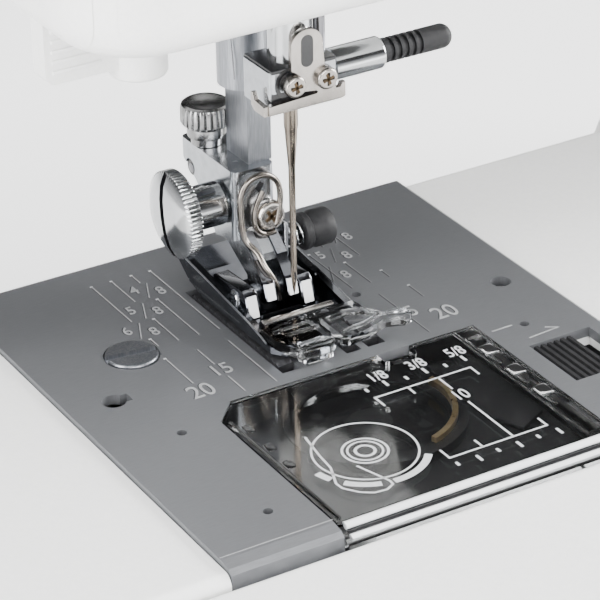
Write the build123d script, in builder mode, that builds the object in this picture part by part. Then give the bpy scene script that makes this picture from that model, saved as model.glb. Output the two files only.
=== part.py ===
from build123d import *
import math
import os

# Free-arm computerised sewing machine, in millimetres.
# The drawing point is the needle axis where it meets the top of the needle plate: every
# helper below takes x (right), y (back) and z (up) from that point. The part's own origin
# is the middle of the footprint on the table.

os.makedirs("parts", exist_ok=True)

# ---- driving dimensions ------------------------------------------------------------------
PLATE_HEIGHT = 84.0          # needle plate top above the table
NEEDLE_X = -86.0             # drawing point seen from the footprint's middle
NEEDLE_Y = 6.0
WALL = 2.5                   # moulded casing thickness
GAP = 0.3                    # soft or curved neighbours
RUN = 0.05                   # running fit, radial

ARM_LEFT, ARM_FRONT, ARM_BACK = -88.0, -49.0, 31.3     # free arm outline
ARM_BOTTOM = -52.0
BED_TOP = -0.8
BASE_LEFT, BASE_RIGHT = 60.0, 290.0
BASE_FRONT, BASE_BACK = -98.0, 86.0
BASE_BOTTOM = -78.0
FLARE_X = 74.3               # where the bed starts to widen backwards at 45 degrees
TRAY_LEFT = -134.0
TRAY_TOP = -1.4

HEAD_LEFT, HEAD_RIGHT = -44.2, 44.0
HEAD_BOTTOM = 59.1
COVER_FRONT, COVER_BACK = -31.0, 62.0
SPLIT_Y = 16.0               # joint between the front and rear covers
ARM_UNDERSIDE = 118.0
PILLAR_LEFT = 165.0
DECK = 168.0                 # top deck below the lid
LID_TOP = 196.0
LID_RIGHT = 222.0
LID_BACK = 38.0
LID_KNUCKLE_R = 2.7          # rounded back edge of the lid, about its hinge
LID_HINGE_Y, LID_HINGE_Z = LID_BACK - 3.3, LID_TOP - LID_KNUCKLE_R
LUG_X0, LUG_X1 = 20.5, 25.5  # hinge lug of the rear cover, in a notch of the lid

SHAFT_Y, SHAFT_Z, SHAFT_R = 0.0, 141.0, 6.0            # main shaft
LOWER_Y, LOWER_Z, LOWER_R = -6.0, -38.0, 4.0           # lower shaft
MOTOR_Y, MOTOR_Z = 32.0, 44.0
CRANK_PIN_Y, CRANK_PIN_Z = -14.39, 148.0
STUD_Z = 110.7
HOOK_X, HOOK_Y = -1.4, -22.2                           # hook and bobbin axis

PLATE_LEFT, PLATE_RIGHT = -38.0, 37.0
PLATE_FRONT, PLATE_BACK = -48.9, 32.2
PLATE_THICK = 1.5
COVER_LEFT, COVER_RIGHT, COVER_REAR = -21.6, 21.0, -13.5
SLOT_FRONT, SLOT_BACK = -10.7, 17.0
LATCH_X0, LATCH_X1, LATCH_Y0, LATCH_Y1 = 24.4, 34.6, -33.8, -22.5    # window of the cover latch

NEEDLE_BAR_R = 3.1
PRESSER_R, PRESSER_Y = 3.7, 12.9
FOOT_SOLE = 1.0


# ---- planes and short cuts ---------------------------------------------------------------
def deck(x, y, z):
    """Horizontal plane through a point; local x right, local y back."""
    return Plane(origin=(NEEDLE_X + x, NEEDLE_Y + y, PLATE_HEIGHT + z))


def wall(x, y, z):
    """Upright plane facing the operator; local x right, local y up."""
    origin = (NEEDLE_X + x, NEEDLE_Y + y, PLATE_HEIGHT + z)
    return Plane(origin=origin, x_dir=(1, 0, 0), z_dir=(0, -1, 0))


def side(x, y, z):
    """Upright plane facing right; local x back, local y up."""
    origin = (NEEDLE_X + x, NEEDLE_Y + y, PLATE_HEIGHT + z)
    return Plane(origin=origin, x_dir=(0, 1, 0), z_dir=(1, 0, 0))


def block(x0, x1, y0, y1, z0, z1, mode=Mode.ADD, corner=0.0):
    """Box between two corners, with optional rounded upright edges."""
    with BuildSketch(deck((x0 + x1) / 2, (y0 + y1) / 2, z0)) as base:
        if corner > 0:
            RectangleRounded(x1 - x0, y1 - y0, corner)
        else:
            Rectangle(x1 - x0, y1 - y0)
    extrude(base.sketch, amount=z1 - z0, mode=mode)


def rod_x(x0, x1, y, z, r, mode=Mode.ADD):
    with BuildSketch(side(x0, y, z)) as disc:
        Circle(r)
    extrude(disc.sketch, amount=x1 - x0, mode=mode)


def rod_y(y0, y1, x, z, r, mode=Mode.ADD):
    with BuildSketch(wall(x, y1, z)) as disc:
        Circle(r)
    extrude(disc.sketch, amount=y1 - y0, mode=mode)


def rod_z(z0, z1, x, y, r, mode=Mode.ADD):
    with BuildSketch(deck(x, y, z0)) as disc:
        Circle(r)
    extrude(disc.sketch, amount=z1 - z0, mode=mode)


def slab_side(points, x0, x1, mode=Mode.ADD):
    """Plate of a (y, z) outline, from x0 to x1."""
    with BuildSketch(side(x0, 0, 0)) as outline:
        with BuildLine():
            Polyline(*points, close=True)
        make_face()
    extrude(outline.sketch, amount=x1 - x0, mode=mode)


def slab_wall(points, y0, y1, mode=Mode.ADD):
    """Plate of an (x, z) outline, from y0 (front) to y1 (back)."""
    with BuildSketch(wall(0, y1, 0)) as outline:
        with BuildLine():
            Polyline(*points, close=True)
        make_face()
    extrude(outline.sketch, amount=y1 - y0, mode=mode)


def slab_deck(points, z0, z1, mode=Mode.ADD):
    """Plate of an (x, y) outline, from z0 to z1."""
    with BuildSketch(deck(0, 0, z0)) as outline:
        with BuildLine():
            Polyline(*points, close=True)
        make_face()
    extrude(outline.sketch, amount=z1 - z0, mode=mode)


def knurl_x(x0, x1, y, z, r, count, depth):
    """Fine straight flutes round a disc on an axis along x."""
    pitch = 2 * math.pi * r / count
    with BuildSketch(side(x0, y, z)) as flutes:
        with PolarLocations(r + depth * 0.3, count):
            Circle(pitch * 0.32)
    extrude(flutes.sketch, amount=x1 - x0, mode=Mode.SUBTRACT)


def knurl_z(z0, z1, x, y, r, count, depth):
    """Fine straight flutes round a disc on an upright axis."""
    pitch = 2 * math.pi * r / count
    with BuildSketch(deck(x, y, z0)) as flutes:
        with PolarLocations(r + depth * 0.3, count):
            Circle(pitch * 0.32)
    extrude(flutes.sketch, amount=z1 - z0, mode=Mode.SUBTRACT)


def cross_recess(plane, reach, width, depth):
    """Cross-shaped driver recess cut into a screw head."""
    with BuildSketch(plane) as cross:
        Rectangle(reach, width)
        Rectangle(width, reach)
    extrude(cross.sketch, amount=-depth, mode=Mode.SUBTRACT)


def near(x=None, y=None, z=None, tol=0.2):
    """Edge filter: the edge's middle lies at the given drawing coordinates."""
    def test(edge):
        middle = edge.center()
        wanted = ((x, middle.X - NEEDLE_X), (y, middle.Y - NEEDLE_Y), (z, middle.Z - PLATE_HEIGHT))
        return all(want is None or abs(want - got) < tol for want, got in wanted)
    return test


def finish(piece, name):
    piece.part.label = name
    export_step(piece.part, "parts/" + name + ".step")


# ---- base pan and feet -------------------------------------------------------------------
base_outline = [(BASE_LEFT, BASE_FRONT), (BASE_RIGHT, BASE_FRONT), (BASE_RIGHT, BASE_BACK),
                (FLARE_X + BASE_BACK - ARM_BACK, BASE_BACK), (FLARE_X, ARM_BACK), (BASE_LEFT, ARM_BACK)]
FOOT_SPOTS = [(80, -82), (272, -82), (272, 70), (134, 66)]

with BuildPart() as base_pan:
    with BuildSketch(deck(0, 0, BASE_BOTTOM)):
        with BuildLine():
            Polyline(*base_outline, close=True)
        make_face()
        offset(amount=-WALL - GAP)
    extrude(amount=3)
    for foot_x, foot_y in FOOT_SPOTS:
        rod_z(BASE_BOTTOM - 1.5, BASE_BOTTOM, foot_x, foot_y, 11)
    for rib_x in (110, 160, 210, 260):
        block(rib_x, rib_x + 2, -60, 20, BASE_BOTTOM + 3, BASE_BOTTOM + 7)
finish(base_pan, "base_pan")

with BuildPart() as rubber_feet:
    for foot_x, foot_y in FOOT_SPOTS:
        with BuildSketch(deck(foot_x, foot_y, -PLATE_HEIGHT)):
            Circle(9)
        extrude(amount=PLATE_HEIGHT + BASE_BOTTOM - 1.5, taper=6)
finish(rubber_feet, "rubber_feet")

# ---- bed casing: free arm and base block in one moulding -----------------------------------
CORNER = 6.0
with BuildPart() as bed_casing:
    block(ARM_LEFT, FLARE_X + 20, ARM_FRONT, ARM_BACK, ARM_BOTTOM, BED_TOP, corner=CORNER)
    slab_deck(base_outline, BASE_BOTTOM, BED_TOP)
    fillet(bed_casing.edges().filter_by(Axis.Z).filter_by(
        lambda e: near(BASE_RIGHT)(e) or near(BASE_LEFT, BASE_FRONT)(e)
        or near(FLARE_X + BASE_BACK - ARM_BACK)(e)), 14)
    fillet(bed_casing.edges().filter_by(near(z=BED_TOP)), 1.6)
    block(ARM_LEFT + WALL, BASE_LEFT + WALL + 1, ARM_FRONT + WALL, ARM_BACK - WALL,
          ARM_BOTTOM + WALL, BED_TOP - WALL, mode=Mode.SUBTRACT)
    with BuildSketch(deck(0, 0, BASE_BOTTOM)):
        with BuildLine():
            Polyline(*base_outline, close=True)
        make_face()
        offset(amount=-WALL)
    extrude(amount=BED_TOP - WALL - BASE_BOTTOM, mode=Mode.SUBTRACT)
    # seat of the needle plate, with room for its folded front and back lips
    block(PLATE_LEFT - 0.15, PLATE_RIGHT + 0.15, ARM_FRONT - 1, ARM_BACK + 1, -PLATE_THICK, 1,
          mode=Mode.SUBTRACT)
    block(PLATE_LEFT - 0.15, PLATE_RIGHT + 0.15, ARM_FRONT - 1, -47.5, -3.4, 1, mode=Mode.SUBTRACT)
    block(PLATE_LEFT - 0.15, PLATE_RIGHT + 0.15, 30.8, ARM_BACK + 1, -3.2, 1, mode=Mode.SUBTRACT)
    block(COVER_LEFT - 0.4, COVER_RIGHT + 0.4, ARM_FRONT - 1, -45.2, -3.6, 1, mode=Mode.SUBTRACT)
    # mechanism opening below the plate, and the way up into the pillar
    block(-34, 33, -46.0, 27.5, -8, 1, mode=Mode.SUBTRACT)
    block(30, LATCH_X1 + 0.6, LATCH_Y0 - 0.5, LATCH_Y1 + 0.5, -8, 1, mode=Mode.SUBTRACT)
    block(PILLAR_LEFT + 8, BASE_RIGHT - 8, COVER_FRONT + 8, COVER_BACK - 8, -8, 2, mode=Mode.SUBTRACT)
    # mains inlet and pedal socket in the right wall
    block(BASE_RIGHT - 20, BASE_RIGHT - 1, -42, -14, -52, -30)
    block(BASE_RIGHT - 18, BASE_RIGHT + 1, -40, -16, -50, -32, mode=Mode.SUBTRACT)
    for pin_y in (-33, -23):
        rod_x(BASE_RIGHT - 19, BASE_RIGHT - 6, pin_y, -41, 1.5)
    rod_x(BASE_RIGHT - 18, BASE_RIGHT - 1, 8, -41, 6)
    rod_x(BASE_RIGHT - 16, BASE_RIGHT + 1, 8, -41, 3.2, mode=Mode.SUBTRACT)
    block(BASE_RIGHT - 4, BASE_RIGHT + 1, 30, 48, -52, -30, mode=Mode.SUBTRACT)
finish(bed_casing, "bed_casing")

# ---- pillar, arm and head: outline shared by the front and rear covers ----------------------
cover_outline = [(HEAD_LEFT, HEAD_BOTTOM), (HEAD_RIGHT, HEAD_BOTTOM), (HEAD_RIGHT, ARM_UNDERSIDE),
                 (PILLAR_LEFT, ARM_UNDERSIDE), (PILLAR_LEFT, BED_TOP), (BASE_RIGHT, BED_TOP),
                 (BASE_RIGHT, LID_TOP), (HEAD_LEFT, LID_TOP)]
FACE_Z0, FACE_Z1, FACE_Y0, FACE_Y1 = 76.0, 160.0, -14.0, 48.0


def casing_shell():
    """Hollow moulding of the pillar, arm and head, before it is parted at SPLIT_Y."""
    with BuildSketch(wall(0, COVER_BACK, 0)) as outline:
        with BuildLine():
            Polyline(*cover_outline, close=True)
        make_face()
        inner_corners = outline.vertices().filter_by(
            lambda v: abs(v.Y - ARM_UNDERSIDE) < 0.1 or abs(v.Z - PLATE_HEIGHT - ARM_UNDERSIDE) < 0.1)
        fillet(inner_corners, 26)
    with BuildPart(mode=Mode.PRIVATE) as shell:
        add(extrude(outline.sketch, amount=COVER_BACK - COVER_FRONT, mode=Mode.PRIVATE))
        upright = shell.edges().filter_by(Axis.Z).filter_by(
            lambda e: near(x=HEAD_LEFT)(e) or near(x=BASE_RIGHT)(e))
        fillet(upright, 12)
        rim = shell.edges().filter_by(
            lambda e: near(y=COVER_FRONT)(e) or near(y=COVER_BACK)(e) or near(z=HEAD_BOTTOM)(e))
        fillet(rim, 5.5)
    return shell.part


shell_outer = casing_shell()
with BuildSketch(wall(0, COVER_BACK - WALL, 0)) as hollow_outline:
    with BuildLine():
        Polyline(*cover_outline, close=True)
    make_face()
    offset(amount=-WALL)
shell_inner = extrude(hollow_outline.sketch, amount=COVER_BACK - COVER_FRONT - 2 * WALL,
                      mode=Mode.PRIVATE)


def hollow_casing():
    """Common cuts of both covers: hollow, lid recess, head and pillar openings."""
    add(shell_outer)
    add(shell_inner, mode=Mode.SUBTRACT)
    # the lid's place above the deck, and the deck's own wall back in below it
    block(HEAD_LEFT - 1, LID_RIGHT, COVER_FRONT - 1, LID_BACK, DECK, LID_TOP + 1, mode=Mode.SUBTRACT)
    block(HEAD_LEFT + 1.8, LID_RIGHT + 10, COVER_FRONT + 1.8, LID_BACK + 10, DECK - WALL, DECK, corner=10.5)
    block(HEAD_LEFT + 1.8, LID_RIGHT + WALL, LID_BACK, LID_BACK + WALL, DECK - 1, LID_TOP - 1.8)
    block(LID_RIGHT, LID_RIGHT + WALL, COVER_FRONT + 1.8, LID_BACK + WALL, DECK - 1, LID_TOP - 1.8)
    # opening under the head for the bars and the threader
    block(-27, 22, -15, 34, HEAD_BOTTOM - 1, HEAD_BOTTOM + WALL + 1, mode=Mode.SUBTRACT, corner=4)
    # pillar foot, open into the base
    block(PILLAR_LEFT + 8, BASE_RIGHT - 8, COVER_FRONT + 8, COVER_BACK - 8, BED_TOP - 1, 4,
          mode=Mode.SUBTRACT)
    # main shaft passage, face cover opening
    rod_x(BASE_RIGHT - 5, BASE_RIGHT + 1, SHAFT_Y, SHAFT_Z, 8.5, mode=Mode.SUBTRACT)
    block(HEAD_LEFT - 1, HEAD_LEFT + WALL + 1, FACE_Y0, FACE_Y1, FACE_Z0, FACE_Z1, mode=Mode.SUBTRACT)


PANEL_X0, PANEL_X1, PANEL_Z0, PANEL_Z1 = 176.0, 280.0, 58.0, 156.0
BUTTON_ROW = [("start_button", -26.0, 6.2), ("reverse_button", -9.0, 4.6)]
BUTTON_Z = 86.0
SLIDER_X0, SLIDER_X1, SLIDER_Z = 62.0, 112.0, 138.0
TAKEUP_X, TAKEUP_THICK = -13.2, 1.6
TAKEUP_Y, TAKEUP_Z, TAKEUP_REACH, TAKEUP_REST = -2.0, 128.0, 40.0, 20.0
DIAL_X, DIAL_Y, DIAL_Z, DIAL_R = 27.0, -23.5, 148.0, 10.0

with BuildPart() as front_cover:
    hollow_casing()
    block(HEAD_LEFT - 5, BASE_RIGHT + 5, SPLIT_Y, COVER_BACK + 5, -10, 220, mode=Mode.SUBTRACT)
    block(PANEL_X0, PANEL_X1, COVER_FRONT - 1, COVER_FRONT + WALL + 1, PANEL_Z0, PANEL_Z1,
          mode=Mode.SUBTRACT)
    for button_name, button_x, button_r in BUTTON_ROW:
        rod_y(COVER_FRONT - 1, COVER_FRONT + WALL + 1, button_x, BUTTON_Z, button_r + 0.3,
              mode=Mode.SUBTRACT)
    block(SLIDER_X0, SLIDER_X1, COVER_FRONT - 1, COVER_FRONT + WALL + 1, SLIDER_Z - 2, SLIDER_Z + 2,
          mode=Mode.SUBTRACT)
    # take-up slot, second threading slot and the tension dial's slot
    block(TAKEUP_X - 2.2, TAKEUP_X + 3.8, COVER_FRONT - 1, COVER_FRONT + WALL + 1, 100, DECK - 6,
          mode=Mode.SUBTRACT)
    block(4, 7, COVER_FRONT - 1, COVER_FRONT + WALL + 1, 100, DECK - 6, mode=Mode.SUBTRACT)
    block(DIAL_X - 4, DIAL_X + 4, COVER_FRONT - 1, COVER_FRONT + WALL + 1, DIAL_Z - 9.5, DIAL_Z + 9.5,
          mode=Mode.SUBTRACT)
finish(front_cover, "front_cover")

HANDLE_X0, HANDLE_X1, HANDLE_Y, HANDLE_Z = 70.0, 196.0, 45.5, 200.5
LIFTER_X, LIFTER_Z = 16.0, 92.0

with BuildPart() as rear_cover:
    hollow_casing()
    block(HEAD_LEFT - 5, BASE_RIGHT + 5, COVER_FRONT - 5, SPLIT_Y, -10, 220, mode=Mode.SUBTRACT)
    rod_y(COVER_BACK - 5, COVER_BACK + 1, LIFTER_X, LIFTER_Z, 5.5, mode=Mode.SUBTRACT)
    # hinge of the lid: a lug inside its notch and a hole in the wall beside its right end
    rod_x(LUG_X0, LUG_X1, LID_HINGE_Y, LID_HINGE_Z, LID_KNUCKLE_R)
    block(LUG_X0, LUG_X1, LID_HINGE_Y, LID_BACK + 0.5, LID_HINGE_Z - LID_KNUCKLE_R, LID_TOP - 1)
    rod_x(LUG_X0 - 1, LUG_X1 + 1, LID_HINGE_Y, LID_HINGE_Z, 1.5 + RUN, mode=Mode.SUBTRACT)
    rod_x(LID_RIGHT - 1, LID_RIGHT + WALL + 1, LID_HINGE_Y, LID_HINGE_Z, 1.5 + RUN, mode=Mode.SUBTRACT)
    # ears that carry the handle
    for ear_x in (HANDLE_X0 - 7, HANDLE_X1 + 1):
        block(ear_x, ear_x + 6, HANDLE_Y - 4, HANDLE_Y + 4, LID_TOP - 2, HANDLE_Z)
        rod_x(ear_x, ear_x + 6, HANDLE_Y, HANDLE_Z, 4)
        rod_x(ear_x - 1, ear_x + 7, HANDLE_Y, HANDLE_Z, 2.05, mode=Mode.SUBTRACT)
    # ventilation slots in the pillar's back
    for slot in range(9):
        block(196 + 8 * slot, 199 + 8 * slot, COVER_BACK - 4, COVER_BACK + 1, 30, 70,
              mode=Mode.SUBTRACT)
finish(rear_cover, "rear_cover")

# ---- face cover on the head's left end ------------------------------------------------------
with BuildPart() as face_cover:
    block(HEAD_LEFT - 0.8, HEAD_LEFT + WALL - 0.2, FACE_Y0 + GAP, FACE_Y1 - GAP, FACE_Z0 + GAP,
          FACE_Z1 - GAP)
    fillet(face_cover.faces().sort_by(Axis.X)[0].edges(), 0.6)
    block(HEAD_LEFT + 2, HEAD_LEFT + 5, 12, 22, 150, 156)
    rod_x(HEAD_LEFT - 3, HEAD_LEFT + 6, 17, 153, 1.6, mode=Mode.SUBTRACT)
finish(face_cover, "face_cover")

# ---- lid over the thread compartment --------------------------------------------------------
with BuildPart() as top_lid:
    block(HEAD_LEFT, LID_RIGHT - GAP, COVER_FRONT, LID_BACK - GAP, DECK + GAP, LID_TOP)
    fillet(top_lid.edges().filter_by(Axis.Z).filter_by(near(HEAD_LEFT, COVER_FRONT)), 12)
    fillet(top_lid.edges().filter_by(
        lambda e: near(z=LID_TOP)(e) and not near(y=LID_BACK - GAP)(e) and not near(LID_RIGHT - GAP)(e)), 5)
    block(HEAD_LEFT + WALL, LID_RIGHT - GAP - WALL, COVER_FRONT + WALL, LID_BACK + 1, DECK - 1,
          LID_TOP - 9, mode=Mode.SUBTRACT)
    block(HEAD_LEFT + WALL + 4, LID_RIGHT - GAP - WALL, COVER_FRONT + WALL + 4, LID_BACK - 8,
          LID_TOP - 10, LID_TOP - WALL, mode=Mode.SUBTRACT)
    # the back edge is a knuckle about the hinge, notched for the lug, with a pin right through
    block(HEAD_LEFT - 1, LID_RIGHT, LID_HINGE_Y, LID_BACK + 1, DECK - 1, LID_TOP + 1, mode=Mode.SUBTRACT)
    rod_x(HEAD_LEFT + 1, LID_RIGHT - GAP, LID_HINGE_Y, LID_HINGE_Z, LID_KNUCKLE_R)
    block(LUG_X0 - 0.5, LUG_X1 + 0.5, LID_HINGE_Y - LID_KNUCKLE_R - 0.5, LID_BACK, DECK - 1, LID_TOP + 1,
          mode=Mode.SUBTRACT)
    rod_x(LUG_X0 - 1, LUG_X1 + 1, LID_HINGE_Y, LID_HINGE_Z, 1.5)
    rod_x(LID_RIGHT - 1, LID_RIGHT + WALL, LID_HINGE_Y, LID_HINGE_Z, 1.5)
    # finger notch at the front edge
    block(80, 110, COVER_FRONT - 1, COVER_FRONT + 1, DECK - 1, DECK + 4, mode=Mode.SUBTRACT)
finish(top_lid, "top_lid")

# ---- carrying handle, folded back on the top ------------------------------------------------
with BuildPart() as carry_handle:
    for end_x in (HANDLE_X0, HANDLE_X1 - 8):
        block(end_x, end_x + 8, HANDLE_Y, HANDLE_Y + 12, HANDLE_Z - 3.8, HANDLE_Z + 3.8)
        rod_x(end_x, end_x + 8, HANDLE_Y, HANDLE_Z, 3.8)
    block(HANDLE_X0, HANDLE_X1, HANDLE_Y + 8, HANDLE_Y + 16, HANDLE_Z - 3.8, HANDLE_Z + 3.8)
    fillet(carry_handle.edges().filter_by(Axis.X).filter_by(
        lambda e: near(y=HANDLE_Y + 16)(e) or near(y=HANDLE_Y + 8)(e)), 2.6)
    for pin_x in (HANDLE_X0 - 6.5, HANDLE_X1 - 8):
        rod_x(pin_x, pin_x + 14.5, HANDLE_Y, HANDLE_Z, 2.0)
finish(carry_handle, "carry_handle")

# ---- accessory tray that extends the bed ----------------------------------------------------
TRAY_BOTTOM = -80.0
TRAY_BACK = ARM_FRONT - 0.9        # the tray's edge beside the free arm's front
tray_outline = [(TRAY_LEFT, BASE_FRONT), (BASE_LEFT - 0.4, BASE_FRONT), (BASE_LEFT - 0.4, TRAY_BACK),
                (ARM_LEFT - 0.4, TRAY_BACK), (ARM_LEFT - 0.4, ARM_BACK), (TRAY_LEFT, ARM_BACK)]
TRAY_DOOR = (-128.0, -94.0, -86.0, 22.0)
DOOR_HINGE_X, DOOR_HINGE_Z, DOOR_KNUCKLE_R = TRAY_DOOR[0] + 3.0, TRAY_TOP - 2.4, 2.4
with BuildPart() as accessory_tray:
    slab_deck(tray_outline, TRAY_BOTTOM, TRAY_TOP)
    fillet(accessory_tray.edges().filter_by(Axis.Z).filter_by(
        lambda e: near(TRAY_LEFT, BASE_FRONT)(e) or near(TRAY_LEFT, ARM_BACK)(e)), 16)
    fillet(accessory_tray.edges().filter_by(near(z=TRAY_TOP)), 1.5)
    with BuildSketch(deck(0, 0, TRAY_BOTTOM + WALL)):
        with BuildLine():
            Polyline(*tray_outline, close=True)
        make_face()
        offset(amount=-WALL)
    extrude(amount=TRAY_TOP - TRAY_BOTTOM - 2 * WALL, mode=Mode.SUBTRACT)
    block(TRAY_DOOR[0], TRAY_DOOR[1], TRAY_DOOR[2], TRAY_DOOR[3], TRAY_TOP - 6, TRAY_TOP + 1,
          mode=Mode.SUBTRACT, corner=3)
    # square corners beside the hinge so the door's edge can swing down past them
    block(TRAY_DOOR[0], DOOR_HINGE_X, TRAY_DOOR[2], TRAY_DOOR[3], TRAY_TOP - 6, TRAY_TOP + 1,
          mode=Mode.SUBTRACT)
    # bosses below the top wall for the door's hinge pins
    for boss_y0, boss_y1 in ((TRAY_DOOR[2] - 2.5, TRAY_DOOR[2]), (TRAY_DOOR[3], TRAY_DOOR[3] + 2.5)):
        block(DOOR_HINGE_X - 2, DOOR_HINGE_X + 2, boss_y0, boss_y1, DOOR_HINGE_Z - 2.5, TRAY_TOP - WALL)
        rod_y(boss_y0 - 1, boss_y1 + 1, DOOR_HINGE_X, DOOR_HINGE_Z, 1.0 + RUN, mode=Mode.SUBTRACT)
finish(accessory_tray, "accessory_tray")

with BuildPart() as tray_lid:
    block(TRAY_DOOR[0] + GAP, TRAY_DOOR[1] - GAP, TRAY_DOOR[2] + GAP, TRAY_DOOR[3] - GAP,
          TRAY_TOP - 2.2, TRAY_TOP, corner=2.7)
    # catch, knuckle along the hinge edge and its two pins
    block(TRAY_DOOR[1] - 6, TRAY_DOOR[1] - 3, -40, -24, TRAY_TOP - 5, TRAY_TOP - 2.2)
    block(TRAY_DOOR[0], DOOR_HINGE_X, TRAY_DOOR[2], TRAY_DOOR[3], TRAY_TOP - 6, TRAY_TOP + 1,
          mode=Mode.SUBTRACT)
    rod_y(TRAY_DOOR[2] + 1.6, TRAY_DOOR[3] - 1.6, DOOR_HINGE_X, DOOR_HINGE_Z, DOOR_KNUCKLE_R)
    rod_y(TRAY_DOOR[2] - 2, TRAY_DOOR[3] + 2, DOOR_HINGE_X, DOOR_HINGE_Z, 1.0)
finish(tray_lid, "tray_lid")

# ---- needle plate ---------------------------------------------------------------------------
with BuildPart() as needle_plate:
    block(PLATE_LEFT, PLATE_RIGHT, -46.0, PLATE_BACK - 1.0, -PLATE_THICK, 0, corner=1.6)
    # front edge: short slope, then a folded lip; the back edge is folded the same way
    slab_side([(PLATE_FRONT, -3.1), (PLATE_FRONT + 1.3, -3.1), (PLATE_FRONT + 1.3, -1.5), (-43, -1.5),
               (-43, 0), (-46.2, 0), (PLATE_FRONT + 0.9, -0.3), (PLATE_FRONT + 0.2, -0.9)],
              PLATE_LEFT, PLATE_RIGHT)
    slab_side([(PLATE_BACK - 1.1, -2.9), (PLATE_BACK, -2.9), (PLATE_BACK, -0.9),
               (PLATE_BACK - 0.9, 0), (28, 0), (28, -1.5), (PLATE_BACK - 1.1, -1.5)],
              PLATE_LEFT, PLATE_RIGHT)
    # bobbin cover opening, open to the front, with its chamfered back corner
    slab_deck([(COVER_LEFT - 0.2, PLATE_FRONT - 1), (COVER_RIGHT + 0.2, PLATE_FRONT - 1),
               (COVER_RIGHT + 0.2, COVER_REAR + 0.2), (-18.0, COVER_REAR + 0.2),
               (COVER_LEFT - 0.2, -17.4)], -4, 1, mode=Mode.SUBTRACT)
    block(LATCH_X0, LATCH_X1, LATCH_Y0, LATCH_Y1, -4, 1, mode=Mode.SUBTRACT)
    # slots of the feed dog: two long outer rows and two inner rows parted by the needle hole
    for sign in (-1, 1):
        outer = sorted((sign * 5.5, sign * 8.3))
        inner = sorted((sign * 2.0, sign * 4.4))
        block(outer[0], outer[1], SLOT_FRONT, SLOT_BACK, -4, 1, mode=Mode.SUBTRACT)
        block(inner[0], inner[1], SLOT_FRONT, -2.6, -4, 1, mode=Mode.SUBTRACT)
        block(inner[0], inner[1], 3.2, SLOT_BACK, -4, 1, mode=Mode.SUBTRACT)
    with BuildSketch(deck(0, 0, -4)):
        SlotOverall(9.0, 1.8)
    extrude(amount=5, mode=Mode.SUBTRACT)
    # screw seat and small locating holes
    rod_z(-4, 1, -23.4, 4.9, 2.1, mode=Mode.SUBTRACT)
    rod_z(-0.5, 1, -23.4, 4.9, 4.0, mode=Mode.SUBTRACT)
    rod_z(-4, 1, 31.8, -4.7, 1.5, mode=Mode.SUBTRACT)
    rod_z(-4, 1, -31.3, -4.9, 1.7, mode=Mode.SUBTRACT)
    block(-31.3, -28.9, -5.9, -3.9, -4, 1, mode=Mode.SUBTRACT)
    for hole_x, hole_y in ((-27.5, -17.0), (-27.5, -39.6), (27.5, -16.9), (12.1, 3.2)):
        rod_z(-4, 1, hole_x, hole_y, 0.7, mode=Mode.SUBTRACT)
finish(needle_plate, "needle_plate")

with BuildPart() as plate_screw:
    rod_z(-0.5 + 0.02, 0.35, -23.4, 4.9, 3.75)
    fillet(plate_screw.edges().group_by(Axis.Z)[-1], 0.3)
    rod_z(-7, -0.48, -23.4, 4.9, 2.0)
    with BuildSketch(deck(-23.4, 4.9, -0.25)):
        Rectangle(8, 1.1, rotation=-8)
    extrude(amount=2, mode=Mode.SUBTRACT)
finish(plate_screw, "plate_screw")

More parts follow.
